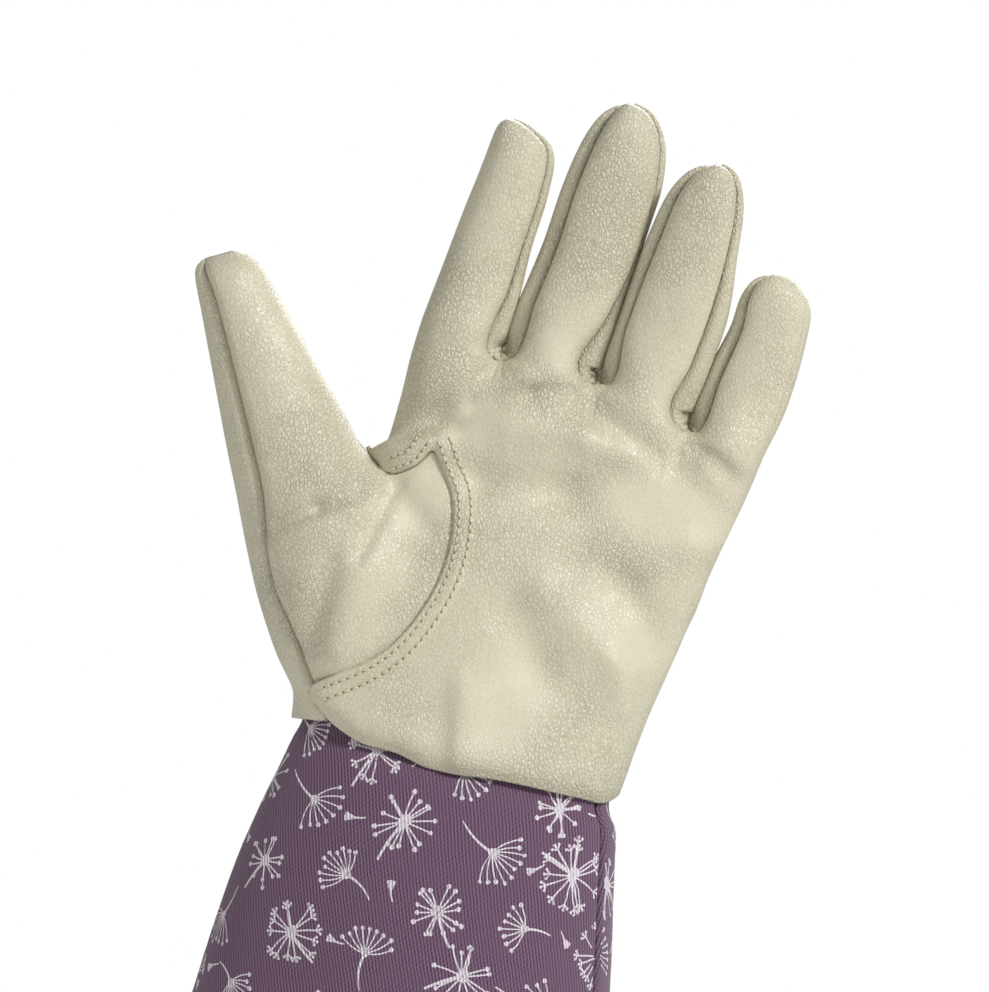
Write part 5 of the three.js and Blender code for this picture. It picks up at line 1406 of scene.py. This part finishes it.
def scatter(left, width, low, high, rng):
    """Places for the flowers: a loose grid of large ones with the sprigs in the gaps."""
    strokes = []
    rows = int((high - low) / FLOWER_ROW)
    columns = int(width / FLOWER_COLUMN)
    for j in range(rows + 1):
        for i in range(columns + 1):
            shift = 0.5 if j % 2 else 0.0
            u = left + (i + shift) / columns * width + rng.normal(0, FLOWER_STRAY)
            v = low + (j + 0.5) * (high - low) / (rows + 1) + rng.normal(0, FLOWER_STRAY)
            draw, size = FLOWERS[(i * 2 + j) % len(FLOWERS)]
            turn, size = rng.uniform(0, 2 * math.pi), size * rng.uniform(*SIZE_SPREAD)
            strokes += draw(np.array([u, v]), turn, size, rng)
            if (i + j) % 2:
                gap = np.array([u + 0.5 * width / columns, v + rng.normal(0, SPRIG_STRAY)])
                strokes += sprig(gap, rng.uniform(0, 2 * math.pi), rng.uniform(*SPRIG_SIZES), rng)
    return strokes


PRINT_ENDS = (-190, 8)  # heights between which the flowers are scattered
INK_ENDS = (-187, 5)  # heights where the ink is cut off
INK_MARGIN = 1.6  # distance from the side seams where it is cut off
SHORT_STEP = 0.5  # degrees and millimetres to a neighbouring point, to find the cloth's direction


def print_flowers(name, start, stop, seed):
    """Lays the strokes on one half of the sleeve and cuts them off at its seams and edges."""
    angle, z, _, arc = lay_out(start, stop)
    points, faces, uvs = [], [], []
    left, width = float(arc.min()), float(arc.max() - arc.min())
    for line, half in scatter(left, width, *PRINT_ENDS, np.random.default_rng(seed)):
        step = np.gradient(line, axis=0)
        step /= np.linalg.norm(step, axis=1, keepdims=True)
        across = np.stack([-step[:, 1], step[:, 0]], axis=-1) * half[:, None]
        rim = np.concatenate([line + across, line - across])
        row = np.clip((rim[:, 1] - z[0, 0]) / (z[-1, 0] - z[0, 0]), 0, 1) * (len(z) - 1)
        nearest = np.round(row).astype(int)
        place = np.array([np.interp(u, arc[n], angle[0]) for u, n in zip(rim[:, 0], nearest)])
        below = np.minimum(row.astype(int), len(z) - 2)
        inside = (rim[:, 0] > arc[below, 0] + INK_MARGIN) & (rim[:, 0] < arc[below, -1] - INK_MARGIN)
        inside &= (rim[:, 1] > INK_ENDS[0]) & (rim[:, 1] < INK_ENDS[1])
        here = sleeve_point(place, rim[:, 1])
        along = sleeve_point(place + SHORT_STEP, rim[:, 1]) - here
        upward = sleeve_point(place, rim[:, 1] + SHORT_STEP) - here
        normal = np.cross(along, upward)
        normal /= np.linalg.norm(normal, axis=1, keepdims=True)
        first, count = len(points), len(line)
        points.extend(here + normal * INK_LIFT)
        uvs.extend(rim * TO_METRES)
        for n in range(count - 1):
            quad = (n + count, n + count + 1, n + 1, n)
            if inside[list(quad)].all():
                faces.append([first + corner for corner in quad])
    used = sorted({corner for face in faces for corner in face})
    renumber = {old: new for new, old in enumerate(used)}
    faces = [[renumber[corner] for corner in face] for face in faces]
    piece = make_piece(name, np.array(points)[used], faces, print_ink, 0, None)
    layer = piece.data.uv_layers.new(name="cloth")
    for loop in piece.data.loops:
        layer.data[loop.index].uv = uvs[used[loop.vertex_index]]


FRONT_SEED, BACK_SEED = 7, 19  # fix how the flowers are scattered on each half
print_flowers("printed_flowers_front", *FRONT_HALF, FRONT_SEED)
print_flowers("printed_flowers_back", *BACK_HALF, BACK_SEED)
